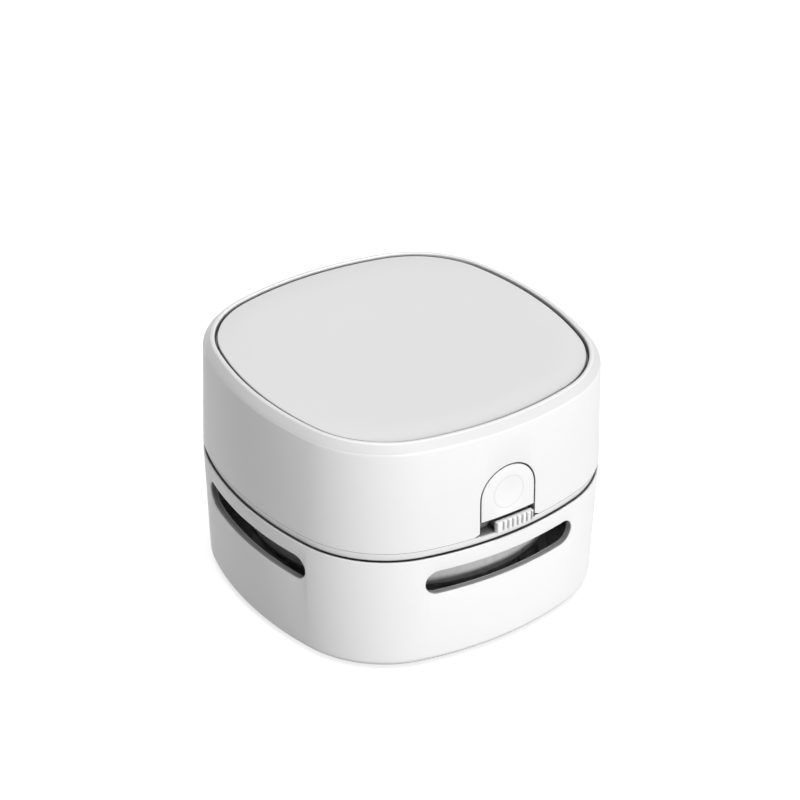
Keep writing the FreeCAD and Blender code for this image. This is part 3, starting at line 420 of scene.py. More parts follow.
class Finish:
    """A material with one Principled shader, its fixed values set on its own sockets."""

    def __init__(self, name, colour, roughness, **fixed):
        self.material = bpy.data.materials.new(name)
        self.material.use_nodes = True
        self.tree = self.material.node_tree
        self.shader = next(n for n in self.tree.nodes if n.type == "BSDF_PRINCIPLED")
        self.shader.inputs["Base Color"].default_value = opaque(colour)
        self.shader.inputs["Roughness"].default_value = roughness
        for key, value in fixed.items():
            self.shader.inputs[key].default_value = value
        self.place = Socket(self.tree, self.tree.nodes.new("ShaderNodeTexCoord").outputs["Object"])

    def mix(self, mask, first, second):
        """A colour between two others."""
        return self.place.node("ShaderNodeMix", {0: mask, 6: first, 7: second}, out=2, data_type="RGBA")

    def painted_shade_occlusion(self, reach):
        """Ambient occlusion for painted shade: 1 on open surfaces, falling towards 0 where a gap or corner
        closes round the surface.
        """
        inputs = {"Distance": reach * MM}
        return self.place.node("ShaderNodeAmbientOcclusion", inputs, out="AO", samples=8)

    def depth(self):
        """How far a point of a side wall lies inside the body's outline, in metres."""
        x, y, _ = self.place.xyz()
        across = x.size()
        along_y = y.size() + SIDE_CENTRE * MM
        along_x = across + SIDE_CENTRE * MM
        front = (across * across + along_y * along_y).root()
        side = (along_x * along_x + y * y).root()
        return SIDE_RADIUS * MM - front.larger(side)

    def feed(self, name, value):
        self.tree.links.new(value.output, self.shader.inputs[name])

    def bump(self, height, depth):
        """Surface relief whose height runs from 0 to depth millimetres."""
        self.feed("Normal", self.place.node("ShaderNodeBump", {"Height": height, "Distance": depth * MM}))


def grey(level):
    return (level, level, level)


def opaque(colour, share=1.0):
    """A colour, or a share of its strength, with full alpha."""
    return (*(level * share for level in colour), 1.0)


# Painted shade in gaps, corners and dark places, and printed bands

# Painted shade: base colours darken in gaps and corners, where shade falls.
CREVICE_REACH = 1.2
CREVICE_SHADE = 0.2
CREVICE_RAMP = ((0.25, grey(0.0)), (0.8, grey(1.0)))
# Painted shade on the shells' inner walls, darker the deeper inside.
INSIDE_REACH = 14.0
SHELL_INSIDE_PAINTED_SHADE = ((0.12, grey(0.0)), (0.46, grey(1.0)))
FINE_FADE = 0.1
FADE = 0.15
WIDE_FADE = 0.2
# Painted shade on the slots' cut faces, the slide's track, the rim's bevel and the dish's edge.
SLOT_FACE = (0.5, 1.8)
SLOT_FACE_ZONE = SLOT_HEIGHT / 2 + 0.5
SLOT_SHADE = 0.74
TRACK_SIDE = -25.0
TRACK_FADE = 1.0
TRACK_DEPTH = 0.5
TRACK_SHADE = 0.6
BEVEL_SHADE = 0.22
DISH_RING = 0.55
DISH_FADE = 0.25
DISH_ZONE = 3.0
DISH_SHADE = 0.16
# Painted shadow on the cup's foot, where the space below the cup lies in shade.
CUP_FOOT = CUP_FLOOR + 2.6
CUP_FOOT_FADE = 0.3
CUP_FOOT_SHADE = 0.93
BAND_FROM = 13.0
BAND_TO = 19.5
BAND_GREY = (0.45, 0.46, 0.48)
CELL_FRONT = 1 if highest("battery_rear").x > -lowest("battery_rear").x else -1


def shell_painted_shade(finish):
    """The share of white left on the shells after painted shade.

    Painted shade makes it less on the slots' cut faces, the slide's track, the rim's bevel and the dish's
    edge.
    """
    x, y, height = finish.place.xyz()
    depth = finish.depth()
    slot = depth.window(*SLOT_FACE, FADE)
    slot = slot * height.window(SLOT_CENTRE - SLOT_FACE_ZONE, SLOT_CENTRE + SLOT_FACE_ZONE, WIDE_FADE)
    slot = slot * x.size().smaller(y.size()).window(-HALF, SLOT_HALF_LENGTH + WIDE_FADE, WIDE_FADE)
    track = depth.window(LIP, HALF / 2, FADE) * (x.size() + y).window(-HALF, TRACK_SIDE, TRACK_FADE)
    track = track * height.window(BAND_TOP - TRACK_DEPTH, BAND_TOP - FINE_FADE, FINE_FADE)
    bevel = height.window(TOP - RIM_BEVEL, TOP - FINE_FADE, FADE)
    rise = height - DISH_HEIGHT * MM
    ring = (x * x + rise * rise).root().window(DISH_RADIUS - DISH_RING, DISH_RADIUS, DISH_FADE)
    ring = ring * (y * -1).window(HALF - DISH_ZONE, HALF, WIDE_FADE) * DISH_SHADE
    return (1 - slot * SLOT_SHADE) * (1 - track * TRACK_SHADE) * (1 - bevel * BEVEL_SHADE) * (1 - ring)


def cup_painted_shadow(finish):
    """The share of grey left on the cup: painted shadow makes its foot and lower wall dark."""
    x, y, height = finish.place.xyz()
    half = CUP_WALL / 2
    outside = (x * x + y * y).root().window(CUP_RADIUS - half, CUP_RADIUS + half, FINE_FADE)
    return 1 - outside * height.window(0, CUP_FOOT, CUP_FOOT_FADE) * CUP_FOOT_SHADE


def cell_band(finish):
    """1 on the printed ring beside each cell's nipple; the rear cell's points the other way."""
    x, y, _ = finish.place.xyz()
    towards_nipple = x * y.sign() * CELL_FRONT
    return towards_nipple.window(BAND_FROM, BAND_TO, FINE_FADE)


# Finishes

MOTTLE_SCALE = 90.0
MOTTLE_DARK = 0.98
MARKS_SCALE = 420.0
MARKS = 0.16
STREAK_STRETCH = (1.0, 1.0, 9.0)
STREAK_SCALE = 500.0
STREAKS = 0.22
STREAK_DEPTH = 0.0012
DULL_SCALE = 160.0
DULL = 0.86


def moulded(name, colour, roughness, grain=0.004, grain_scale=2600.0,
            inside=None, share=None, band=None, **fixed):
    """Moulded plastic: a fine spark-eroded grain, a soft flow mottle, faint handling marks and painted
    shade in gaps and corners.

    inside paints shade on a shell's inner walls, share paints shade on the dark places of a piece, and band
    prints a ring.
    """
    finish = Finish(name, colour, roughness, **fixed)
    mottle = finish.place.noise(MOTTLE_SCALE, 4.0, 0.6)
    grain_height = finish.place.noise(grain_scale, 2.0)
    clean = finish.mix(mottle, opaque(colour, MOTTLE_DARK), opaque(colour))
    if band:
        clean = finish.mix(band(finish), clean, opaque(BAND_GREY))
    # Painted shade: the base colour darkens towards CREVICE_SHADE in gaps and corners.
    left_by_painted_shade = finish.painted_shade_occlusion(CREVICE_REACH).ramp(*CREVICE_RAMP)
    if inside:
        # Painted shade on a shell's inner walls.
        left_by_painted_shade = left_by_painted_shade * finish.painted_shade_occlusion(INSIDE_REACH).ramp(*inside)
    if share:
        # Painted shade on a piece's dark places.
        left_by_painted_shade = left_by_painted_shade * share(finish)
    finish.feed("Base Color", finish.mix(left_by_painted_shade, opaque(colour, CREVICE_SHADE), clean))
    marks = finish.place.noise(MARKS_SCALE, 5.0, 0.7)
    finish.feed("Roughness", marks * MARKS + (roughness - MARKS / 2))
    finish.bump(grain_height, grain)
    return finish.material


def metal(name, colour, roughness):
    """Plated or ground metal with a short streaky grain."""
    finish = Finish(name, colour, roughness, Metallic=1.0)
    inputs = {"Vector": finish.place, "Scale": STREAK_STRETCH}
    streaks = finish.place.node("ShaderNodeMapping", inputs).noise(STREAK_SCALE, 4.0, 0.6)
    finish.feed("Roughness", streaks * STREAKS + (roughness - STREAKS / 2))
    dull = finish.place.noise(DULL_SCALE)
    finish.feed("Base Color", finish.mix(dull, opaque(colour, DULL), opaque(colour)))
    finish.bump(streaks, STREAK_DEPTH)
    return finish.material


WHITE = grey(0.88)
PLASTICS = {
    # shell_white and cup_grey also carry painted shade through inside and share.
    "shell_white": dict(colour=WHITE, roughness=0.38, inside=SHELL_INSIDE_PAINTED_SHADE, share=shell_painted_shade, IOR=1.49),
    "lid_grey": dict(colour=grey(0.85), roughness=0.46, grain=0.008, grain_scale=1900.0),
    "cup_grey": dict(colour=grey(0.66), roughness=0.28, grain=0.002, share=cup_painted_shadow),
    "knob_white": dict(colour=WHITE, roughness=0.42),
    "base_white": dict(colour=grey(0.82), roughness=0.48, grain=0.006),
    "inner_white": dict(colour=(0.80, 0.80, 0.79), roughness=0.5, grain=0.006),
    "brush_grey": dict(colour=(0.32, 0.32, 0.33), roughness=0.5),
    "bristle": dict(colour=(0.025, 0.025, 0.027), roughness=0.45),
    "rubber_grey": dict(colour=(0.06, 0.06, 0.062), roughness=0.72, grain=0.01),
    "filter_frame": dict(colour=(0.035, 0.035, 0.036), roughness=0.5),
    "filter_foam": dict(colour=(0.05, 0.05, 0.052), roughness=0.9, grain=0.2, grain_scale=900.0),
    "fan_black": dict(colour=(0.03, 0.03, 0.031), roughness=0.42),
    "end_cap": dict(colour=(0.75, 0.73, 0.66), roughness=0.45),
    "cell_sleeve": dict(colour=(0.05, 0.055, 0.07), roughness=0.3, grain=0.001, band=cell_band),
    "board": dict(colour=(0.02, 0.12, 0.04), roughness=0.4),
    "lever_black": dict(colour=grey(0.15), roughness=0.45),
}
METALS = {
    "screw_steel": ((0.62, 0.62, 0.61), 0.34),
    "motor_steel": ((0.60, 0.60, 0.59), 0.36),
    "shaft_steel": ((0.70, 0.70, 0.70), 0.24),
    "contact_metal": ((0.74, 0.73, 0.70), 0.28),
    "spring_steel": ((0.58, 0.58, 0.58), 0.32),
}
materials = {name: moulded(name, **look) for name, look in PLASTICS.items()}
materials.update({name: metal(name, *look) for name, look in METALS.items()})


def dress_nodes():
    """Gives every CAD node the material of its slot."""
    for row in frame["record"]["subparts"]:
        node = frame["nodes"][row["node"]]
        material = materials[row["material_slot"]]
        for slot in node.material_slots:
            slot.material = material
        if not node.material_slots:
            node.data.materials.append(material)


# Studio

WORLD_LEVEL = 0.08
FLOOR_SIZE = 6.0
FLOOR_GLOW = 0.74
FLOOR_SHADE = 0.5


def add_lamp(name, azimuth, elevation, strength, angle):
    """A distant soft lamp that shines from an azimuth, seen from above and measured from -Y towards -X."""
    data = bpy.data.lights.new(name, "SUN")
    data.energy = strength
    data.angle = math.radians(angle)
    lamp = bpy.data.objects.new(name, data)
    bpy.context.scene.collection.objects.link(lamp)
    a = math.radians(azimuth)
    e = math.radians(elevation)
    away = Vector((-math.sin(a) * math.cos(e), -math.cos(a) * math.cos(e), math.sin(e)))
    lamp.rotation_euler = away.to_track_quat("Z", "Y").to_euler()


def seen_directly(tree):
    """1 for camera rays and clear reflections, and 0 for the rays that light the object."""
    rays = tree.nodes.new("ShaderNodeLightPath")
    names = ("Is Camera Ray", "Is Glossy Ray", "Is Transmission Ray")
    camera, glossy, clear = (Socket(tree, rays.outputs[name]) for name in names)
    return (camera + glossy + clear).clamp()


def light_world(level):
    """White where the camera and clear reflections see it, and a plain level where it lights the object."""
    world = bpy.data.worlds.new("studio")
    world.use_nodes = True
    bpy.context.scene.world = world
    tree = world.node_tree
    shader = next(n for n in tree.nodes if n.type == "BACKGROUND")
    strength = seen_directly(tree) * (1.0 - level) + level
    shader.inputs["Color"].default_value = opaque(grey(1.0))
    tree.links.new(strength.output, shader.inputs["Strength"])


def add_floor():
    deselect()
    bpy.ops.mesh.primitive_plane_add(size=FLOOR_SIZE)
    floor = bpy.context.active_object
    floor.name = "floor"
    finish = Finish("floor_white", grey(FLOOR_SHADE), roughness=0.9)
    finish.feed("Emission Strength", seen_directly(finish.tree) * FLOOR_GLOW)
    finish.shader.inputs["Emission Color"].default_value = opaque(grey(1.0))
    floor.data.materials.append(finish.material)


def set_studio():
    bpy.context.scene.view_settings.view_transform = "Standard"
    light_world(WORLD_LEVEL)
    add_lamp("key_lamp", azimuth=-3.0, elevation=10.0, strength=2.08, angle=16.0)
    add_lamp("front_lamp", azimuth=0.0, elevation=60.0, strength=0.4, angle=30.0)
    add_lamp("top_lamp", azimuth=0.0, elevation=88.0, strength=1.75, angle=40.0)
    add_lamp("side_lamp", azimuth=110.0, elevation=20.0, strength=0.1, angle=40.0)
    add_floor()


# Modelling helpers; places and sizes are in millimetres

TOUCH = 0.002
HALF_TURN = math.pi
FULL_TURN = 2 * math.pi
SHARP_ANGLE = 50.0
SMOOTH_ANGLE = 35.0
PARALLEL = 0.99
NEARLY_ALL = 0.999
ROUND_STEPS = 4
SIDE_STEPS = 16
CORNER_STEPS = 32
LATHE_STEPS = 128
POST_STEPS = 40
SMALL_STEPS = 32


def edit_mode():
    bpy.ops.object.mode_set(mode="EDIT")
    bpy.ops.mesh.select_mode(type="VERT")


def object_mode():
    bpy.ops.object.mode_set(mode="OBJECT")


def deselect():
    bpy.ops.object.select_all(action="DESELECT")


def choose(test, kind="VERT"):
    """Selects the vertices or edges of the mesh in edit mode that pass a test."""
    bpy.ops.mesh.select_mode(type=kind)
    bpy.ops.mesh.select_all(action="DESELECT")
    mesh = bpy.context.edit_object.data
    shape = bmesh.from_edit_mesh(mesh)
    for part in {"VERT": shape.verts, "EDGE": shape.edges}[kind]:
        if test(part):
            part.select_set(True)
    shape.select_flush_mode()
    bmesh.update_edit_mesh(mesh)


def middle(edge):
    """The middle of an edge, in millimetres."""
    return sum((v.co for v in edge.verts), Vector()) / 2 / MM


def merge_doubles():
    """Selects the whole mesh in edit mode and merges its doubles."""
    bpy.ops.mesh.select_all(action="SELECT")
    bpy.ops.mesh.remove_doubles(threshold=TOUCH * MM)


def close_mesh():
    """Merges the doubles of the mesh in edit mode and turns its faces outwards."""
    merge_doubles()
    bpy.ops.mesh.normals_make_consistent(inside=False)


def draw_section(name, corners, closed):
    """A chain of edges in the plane y = 0 through (x, z) or (x, z, round) corners, left in edit mode."""
    deselect()
    bpy.ops.mesh.primitive_plane_add(size=MM)
    piece = bpy.context.active_object
    piece.name = name
    edit_mode()
    bpy.ops.mesh.merge(type="CENTER")
    places = [Vector((x, 0, z)) * MM for x, z, *_ in corners]
    route = places + places[:1] if closed else places
    bpy.ops.transform.translate(value=route[0])
    for here, there in zip(route, route[1:]):
        bpy.ops.mesh.extrude_vertices_move(TRANSFORM_OT_translate={"value": there - here})
    merge_doubles()
    for corner, place in zip(corners, places):
        if len(corner) == 3:
            choose(lambda v: (v.co - place).length < TOUCH * MM)
            bpy.ops.mesh.bevel(offset=corner[2] * MM, segments=ROUND_STEPS, affect="VERTICES")
    bpy.ops.mesh.select_all(action="SELECT")
    return piece


def lathe(name, corners, steps=LATHE_STEPS, x=0.0, y=0.0):
    """A piece turned about an upright axis from (radius, z) or (radius, z, round) corners.

    Corners that start on the axis end on it too, and others lead back to the first.
    """
    piece = draw_section(name, corners, corners[0][0] > 0)
    bpy.ops.mesh.spin(steps=steps, angle=FULL_TURN, center=(0, 0, 0), axis=(0, 0, -1))
    close_mesh()
    bpy.ops.transform.translate(value=(x * MM, y * MM, 0))
    object_mode()
    return piece


def rod(name, x, y, radius, low, high, steps=SMALL_STEPS):
    """A plain upright cylinder that other shapes are cut with or joined to."""
    corners = [(0, low), (radius, low), (radius, high), (0, high)]
    return lathe(name, corners, steps, x, y)


def body_ring(name, corners, capped=False):
    """A piece swept round the body's outline from (inset, z) or (inset, z, round) corners."""
    piece = draw_section(name, [(HALF - corner[0], *corner[1:]) for corner in corners], not capped)
    for quarter in range(4):
        turn = Matrix.Rotation(quarter * HALF_TURN / 2, 3, "Z")
        side = turn @ Vector((-SIDE_CENTRE, 0, 0))
        corner = turn @ Vector((CORNER_CENTRE, CORNER_CENTRE, 0))
        next_side = turn @ Vector((0, -SIDE_CENTRE, 0))
        stretches = (
            (side, SIDE_ANGLE, SIDE_STEPS),
            (corner, HALF_TURN / 2 - 2 * SIDE_ANGLE, CORNER_STEPS),
            (next_side, SIDE_ANGLE, SIDE_STEPS),
        )
        for centre, sweep, steps in stretches:
            bpy.ops.mesh.spin(steps=steps, angle=sweep, center=centre * MM, axis=(0, 0, -1))
    merge_doubles()
    if capped:
        for _, z, *_ in (corners[0], corners[-1]):
            choose(lambda e: e.is_boundary and abs(middle(e).z - z) < TOUCH, "EDGE")
            bpy.ops.mesh.edge_face_add()
    close_mesh()
    object_mode()
    return piece


def block(name, low, high):
    low, high = Vector(low), Vector(high)
    deselect()
    bpy.ops.mesh.primitive_cube_add(size=MM, location=(low + high) / 2 * MM)
    piece = bpy.context.active_object
    piece.name = name
    piece.scale = high - low
    bpy.ops.object.transform_apply(location=True, rotation=True, scale=True)
    return piece


def round_edges(piece, test, reach, steps=3):
    """Rounds the edges of a piece that pass a test."""
    deselect()
    bpy.context.view_layer.objects.active = piece
    edit_mode()
    choose(test, "EDGE")
    bpy.ops.mesh.bevel(offset=reach * MM, segments=steps, affect="EDGES", clamp_overlap=False)
    close_mesh()
    object_mode()


def along(edge, axis):
    """Whether an edge runs along an axis, 0 for X, 1 for Y and 2 for Z."""
    step = (edge.verts[1].co - edge.verts[0].co).normalized()
    return abs(step[axis]) > PARALLEL


def sharp(edge):
    return len(edge.link_faces) == 2 and edge.calc_face_angle() > math.radians(SHARP_ANGLE)


def soften(piece, reach, inside, steps=2):
    """Rounds a piece's sharp edges whose middles lie inside a region."""
    round_edges(piece, lambda e: sharp(e) and inside(middle(e)), reach, steps)


def combine(piece, other, operation="DIFFERENCE"):
    """Cuts another shape out of a piece, or joins or meets it, and removes the other."""
    change = piece.modifiers.new("change", "BOOLEAN")
    change.operation = operation
    change.solver = "EXACT"
    change.object = other
    bpy.context.view_layer.objects.active = piece
    bpy.ops.object.modifier_apply(modifier=change.name)
    bpy.data.objects.remove(other)


def arch(name, half_width, low, y0, y1):
    """A block along Y with a round top over the button's centre."""
    top = BUTTON_ARC_HEIGHT + half_width
    piece = block(name, (-half_width, y0, low), (half_width, y1, top))
    round_edges(piece, lambda e: along(e, 1) and middle(e).z > top - TOUCH,
                half_width * NEARLY_ALL, ARCH_STEPS)
    return piece


def finish_piece(piece, body, slot, *nodes):
    """Smooths a finished piece, sets its material and its body, and hides the nodes that it stands for."""
    deselect()
    piece.select_set(True)
    bpy.context.view_layer.objects.active = piece
    bpy.ops.object.shade_smooth_by_angle(angle=math.radians(SMOOTH_ANGLE))
    piece.data.materials.clear()
    piece.data.materials.append(materials[slot])
    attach(piece, body)
    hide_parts(*nodes)


def joined(name, pieces):
    """Joins finished copies into one piece."""
    deselect()
    for piece in pieces:
        piece.select_set(True)
    bpy.context.view_layer.objects.active = pieces[0]
    bpy.ops.object.join()
    pieces[0].name = name
    pieces[0].data.name = name
    return pieces[0]


def move(piece, place, angle, axis):
    """Turns a piece's mesh about an axis through the origin and moves it to a place."""
    piece.data.transform(Matrix.Translation(Vector(place) * MM) @ Matrix.Rotation(angle, 4, axis))


def placed_copy(piece, x=0.0, y=0.0, turn=0.0):
    """A copy of a piece with its own mesh, turned about Z by some degrees and moved."""
    copy = piece.copy()
    copy.data = piece.data.copy()
    bpy.context.scene.collection.objects.link(copy)
    move(copy, (x, y, 0), math.radians(turn), "Z")
    return copy


def repeat(name, piece, places):
    """One piece made of a copy at each (x, y, turn) place; the pattern is removed."""
    copies = [placed_copy(piece, *place) for place in places]
    bpy.data.objects.remove(piece)
    return joined(name, copies)


def quarter_places(x, y):
    """Four places mirrored in X and Y, each turned a little differently."""
    return [(x, y, 10.0), (-x, y, 37.0), (-x, -y, 64.0), (x, -y, 22.0)]


# Dust unit

def lower_inset(z):
    return LOWER_DRAFT * (SEAM - z) / (SEAM - FOOT_LIFT)


def upper_inset(z):
    return UPPER_DRAFT * (z - BAND_TOP) / (TOP - RIM_BEVEL - BAND_TOP)


def slot_cutter():
    """A long slot with round ends through the wall that faces -Y."""
    half = SLOT_HEIGHT / 2
    low = (-SLOT_HALF_LENGTH, -2 * HALF, SLOT_CENTRE - half)
    cutter = block("slot", low, (SLOT_HALF_LENGTH, -CUP_RADIUS / 2, SLOT_CENTRE + half))
    round_edges(cutter, lambda e: along(e, 1), half * NEARLY_ALL, ARCH_STEPS)
    return cutter


def add_posts(housing):
    """Four screw posts on the web, and the recesses of the feet."""
    foot = COVER_TOP + TOUCH
    profile = [(0, foot), (POST_RADIUS, foot), (POST_RADIUS, CUP_FLOOR, ROUND), (0, CUP_FLOOR)]
    for x, y, _ in quarter_places(COVER_SCREW_X, COVER_SCREW_X):
        combine(housing, lathe("post", profile, POST_STEPS, x, y), "UNION")
        combine(housing, rod("hole", x, y, SCREW_HOLE, 0, COVER_TOP + SCREW_LENGTH))
    for x, y, _ in quarter_places(FOOT_X, FOOT_X):
        combine(housing, rod("hole", x, y, FOOT_RADIUS + CLEARANCE, 0, FOOT_TOP))


def add_catches(housing):
    """The two ribs that the latch hooks under."""
    for x in (CATCH_X, -CATCH_X):
        low = (x - CATCH_HALF_WIDTH, CATCH_FRONT, CATCH_LOW)
        rib = block("catch", low, (x + CATCH_HALF_WIDTH, CATCH_BACK, CATCH_HIGH))
        round_edges(rib, lambda e: along(e, 0) and middle(e).y > CATCH_BACK - TOUCH, ROUND)
        combine(housing, rib, "UNION")


def cut_slots(housing):
    """One slot in each wall, with rounded edges."""
    slot = slot_cutter()
    for quarter in range(1, 4):
        combine(housing, placed_copy(slot, turn=90 * quarter))
    combine(housing, slot)
    low = SLOT_CENTRE - SLOT_HEIGHT / 2 - BEYOND
    high = SLOT_CENTRE + SLOT_HEIGHT / 2 + BEYOND
    soften(housing, SLOT_ROUND, lambda p: low < p.z < high, steps=3)


def make_lower_housing():
    floor_top = FOOT_LIFT + FLOOR
    housing = body_ring("lower_housing", [
        (0, SEAM, EDGE_ROUND),
        (LIP, SEAM, FINE_ROUND),
        (LIP + LIP_DEPTH / 2, SEAM - LIP_DEPTH),
        (WALL, SEAM - LIP_DEPTH, SMALL_ROUND),
        (lower_inset(floor_top) + WALL, floor_top, FLOOR_ROUND),
        (FLOOR_INSET, floor_top),
        (FLOOR_INSET, FOOT_LIFT),
        (LOWER_DRAFT, FOOT_LIFT, BOTTOM_ROUND),
    ])
    combine(housing, rod("recess", 0, 0, RECESS_RADIUS, -BEYOND, RECESS_TOP, LATHE_STEPS))
    web = lathe("web", [
        (FLOOR_OPENING, COVER_TOP), (RECESS_RADIUS, COVER_TOP), (RECESS_RADIUS, FOOT_LIFT),
        (RECESS_RADIUS + WEB, FOOT_LIFT), (RECESS_RADIUS + WEB, COVER_TOP + WEB),
        (FLOOR_OPENING, COVER_TOP + WEB, ROUND),
    ])
    combine(housing, web, "UNION")
    add_posts(housing)
    add_catches(housing)
    cut_slots(housing)
    finish_piece(housing, "dust_unit", "shell_white", "lower_shell")


def make_dust_bowl():
    bowl = lathe("dust_bowl", [
        (CUP_RADIUS, CUP_RIM, ROUND),
        (CUP_RADIUS, CUP_FLOOR + CUP_EDGE, BROAD_ROUND),
        (CUP_RADIUS - CUP_EDGE, CUP_FLOOR, BROAD_ROUND),
        (CHIMNEY_FOOT + CUP_WALL, CUP_FLOOR, ROUND),
        (MOUTH_RADIUS + CUP_WALL, CUP_LOW, SMALL_ROUND),
        (MOUTH_RADIUS, CUP_LOW, ROUND),
        (CHIMNEY_RADIUS, CHIMNEY_TOP, ROUND),
        (CHIMNEY_RADIUS + CUP_WALL, CHIMNEY_TOP, ROUND),
        (CHIMNEY_NECK + CUP_WALL, CUP_FLOOR + CUP_WALL, CHIMNEY_FOOT_ROUND),
        (CUP_RADIUS - CUP_WALL, CUP_FLOOR + CUP_WALL, CUP_INSIDE_ROUND),
        (CUP_RADIUS - CUP_WALL, CUP_RIM, ROUND),
    ])
    finish_piece(bowl, "dust_unit", "cup_grey", "dust_cup")


# Motor unit

def add_bosses(housing):
    """The four screw bosses inside the left and right walls."""
    low, high = BAND_TOP + TOUCH, LEDGE_BOTTOM + BITE
    for x, y, _ in quarter_places(HOUSING_SCREW_X, HOUSING_SCREW_Y):
        combine(housing, rod("boss", x, y, BOSS_RADIUS, low, high, POST_STEPS), "UNION")
        combine(housing, rod("hole", x, y, SCREW_HOLE, BAND_TOP - BEYOND, BAND_TOP + SCREW_LENGTH))


def finger_notch():
    """Wedge-shaped cuts beside the lower corners of the button's opening."""
    foot = OPENING_HALF_WIDTH + NOTCH_WIDTH * (1 + BEYOND / NOTCH_HEIGHT)
    low = (-foot, -2 * HALF, BAND_TOP - BEYOND)
    wedge = block("notch", low, (foot, -HALF + 2 * WALL, BAND_TOP + NOTCH_HEIGHT))
    bpy.context.view_layer.objects.active = wedge
    edit_mode()
    choose(lambda v: v.co.z / MM > BAND_TOP)
    bpy.ops.transform.resize(value=(OPENING_HALF_WIDTH / foot, 1, 1))
    object_mode()
    return wedge


def make_upper_housing():
    housing = body_ring("upper_housing", [
        (0, BAND_TOP, EDGE_ROUND),
        (UPPER_DRAFT, TOP - RIM_BEVEL, RIM_ROUND),
        (UPPER_DRAFT + RIM_BEVEL, TOP, RIM_TOP_ROUND),
        (LID_OPENING - RIM_EASE, TOP, ROUND),
        (LID_OPENING, LEDGE_TOP, FINE_ROUND),
        (LID_OPENING + LEDGE_WIDTH, LEDGE_TOP, SMALL_ROUND),
        (LID_OPENING + LEDGE_WIDTH, LEDGE_BOTTOM, SMALL_ROUND),
        (upper_inset(LEDGE_BOTTOM) + WALL, LEDGE_BOTTOM, WIDE_ROUND),
        (WALL, BAND_TOP),
    ])
    add_bosses(housing)
    combine(housing, arch("opening", OPENING_HALF_WIDTH, BAND_TOP - BEYOND, -2 * HALF, -HALF / 2))
    combine(housing, finger_notch())
    side, back, top = OPENING_HALF_WIDTH + BEYOND, -HALF + 4 * WALL, TOP - RIM_ZONE
    soften(housing, EDGE_ROUND, lambda p: abs(p.x) < side and p.y < back and p.z < top)
    finish_piece(housing, "motor_unit", "shell_white", "upper_shell")


def make_lid():
    lid = body_ring("battery_lid", [
        (LID_MIDDLE, LID_TOP),
        (LID_OPENING + LID_GAP + RIM_EASE, LID_TOP, RIM_TOP_ROUND),
        (LID_OPENING + LID_GAP, LEDGE_TOP, SMALL_ROUND),
        (LID_SKIRT_INSET, LEDGE_TOP, FINE_ROUND),
        (LID_SKIRT_INSET, LID_LOW, SMALL_ROUND),
        (LID_SKIRT_INSET + LID_SKIRT, LID_LOW, SMALL_ROUND),
        (LID_SKIRT_INSET + LID_SKIRT, LEDGE_TOP, FINE_ROUND),
        (LID_MIDDLE, LEDGE_TOP),
    ], capped=True)
    finish_piece(lid, "lid", "lid_grey", "top_lid")


# Push button and knob

def dish_cutter():
    """A shallow spherical cap that faces into the wall, over the button's centre."""
    sphere = (DISH_RADIUS ** 2 + DISH_DEPTH ** 2) / (2 * DISH_DEPTH)
    rings = [DISH_REACH * step / DISH_RINGS for step in range(DISH_RINGS + 1)]
    profile = [(r, math.sqrt(sphere ** 2 - r ** 2) - sphere + DISH_DEPTH) for r in rings]
    profile += [(DISH_REACH, DISH_BACK), (0, DISH_BACK)]
    cap = lathe("dish", profile, DISH_STEPS)
    move(cap, (0, upper_inset(DISH_HEIGHT) - HALF, DISH_HEIGHT), -HALF_TURN / 2, "X")
    return cap


def make_button():
    """Arched plate that follows the bowed wall, with a shallow finger dish, a neck and a stop flange."""
    low, high = BUTTON_BOTTOM - BEYOND, BUTTON_ARC_HEIGHT + BUTTON_HALF_WIDTH + BEYOND
    key = body_ring("release_key", [
        (upper_inset(low), low),
        (upper_inset(high), high),
        (upper_inset(high) + WALL, high),
        (upper_inset(low) + WALL, low),
    ])
    combine(key, arch("face", BUTTON_HALF_WIDTH, BUTTON_BOTTOM, -2 * HALF, -HALF / 2), "INTERSECT")
    zone = -HALF + BUTTON_FACE_ZONE
    soften(key, SMALL_ROUND, lambda p: p.y < zone, steps=3)
    back = highest("push_button").y
    front = back - FLANGE_THICKNESS
    neck = arch("neck", NECK_HALF_WIDTH, LATCH_BOTTOM, -HALF + WALL - NECK_BITE, front + BITE)
    combine(key, neck, "UNION")
    combine(key, arch("flange", FLANGE_HALF_WIDTH, LATCH_BOTTOM, front, back), "UNION")
    combine(key, dish_cutter())
    finish_piece(key, "release_button", "shell_white", "push_button")


def press_grooves(knob, centre, middle_y):
    """Presses upright grooves into the part of the knob that lies before a middle plane."""
    bpy.context.view_layer.objects.active = knob
    edit_mode()
    for index in range(RIB_COUNT):
        groove = centre + (index - (RIB_COUNT - 1) / 2) * RIB_PITCH
        for x in (groove - RIB_GROOVE, groove, groove + RIB_GROOVE):
            bpy.ops.mesh.select_all(action="SELECT")
            bpy.ops.mesh.bisect(plane_co=(x * MM, 0, 0), plane_no=(1, 0, 0))
        choose(lambda v: abs(v.co.x / MM - groove) < TOUCH and v.co.y / MM < middle_y)
        bpy.ops.transform.translate(value=(0, RIB_DEPTH * MM, 0))
    close_mesh()
    object_mode()


def make_knob():
    """Thumb knob with upright grooves that stands proud of the wall on its neck."""
    low, high = lowest("slide_knob"), highest("slide_knob")
    knob = block("thumb_knob", low, (high.x, low.y + KNOB_PLATE, high.z))
    round_edges(knob, lambda e: middle(e).y < low.y + TOUCH, KNOB_ROUND)
    press_grooves(knob, (low.x + high.x) / 2 + RIB_OFFSET, low.y + KNOB_PLATE / 2)
    finish_piece(knob, "power_slide", "knob_white", "slide_knob")

    corner = (low.x + KNOB_NECK_INSET, low.y + KNOB_PLATE - BITE, low.z + FIT_GAP)
    neck = block("knob_neck", corner, (high.x - KNOB_NECK_INSET, high.y, high.z - FIT_GAP))
    round_edges(neck, lambda e: along(e, 1), SMALL_ROUND)
    finish_piece(neck, "power_slide", "lever_black", "slide_knob")


# Screws and feet

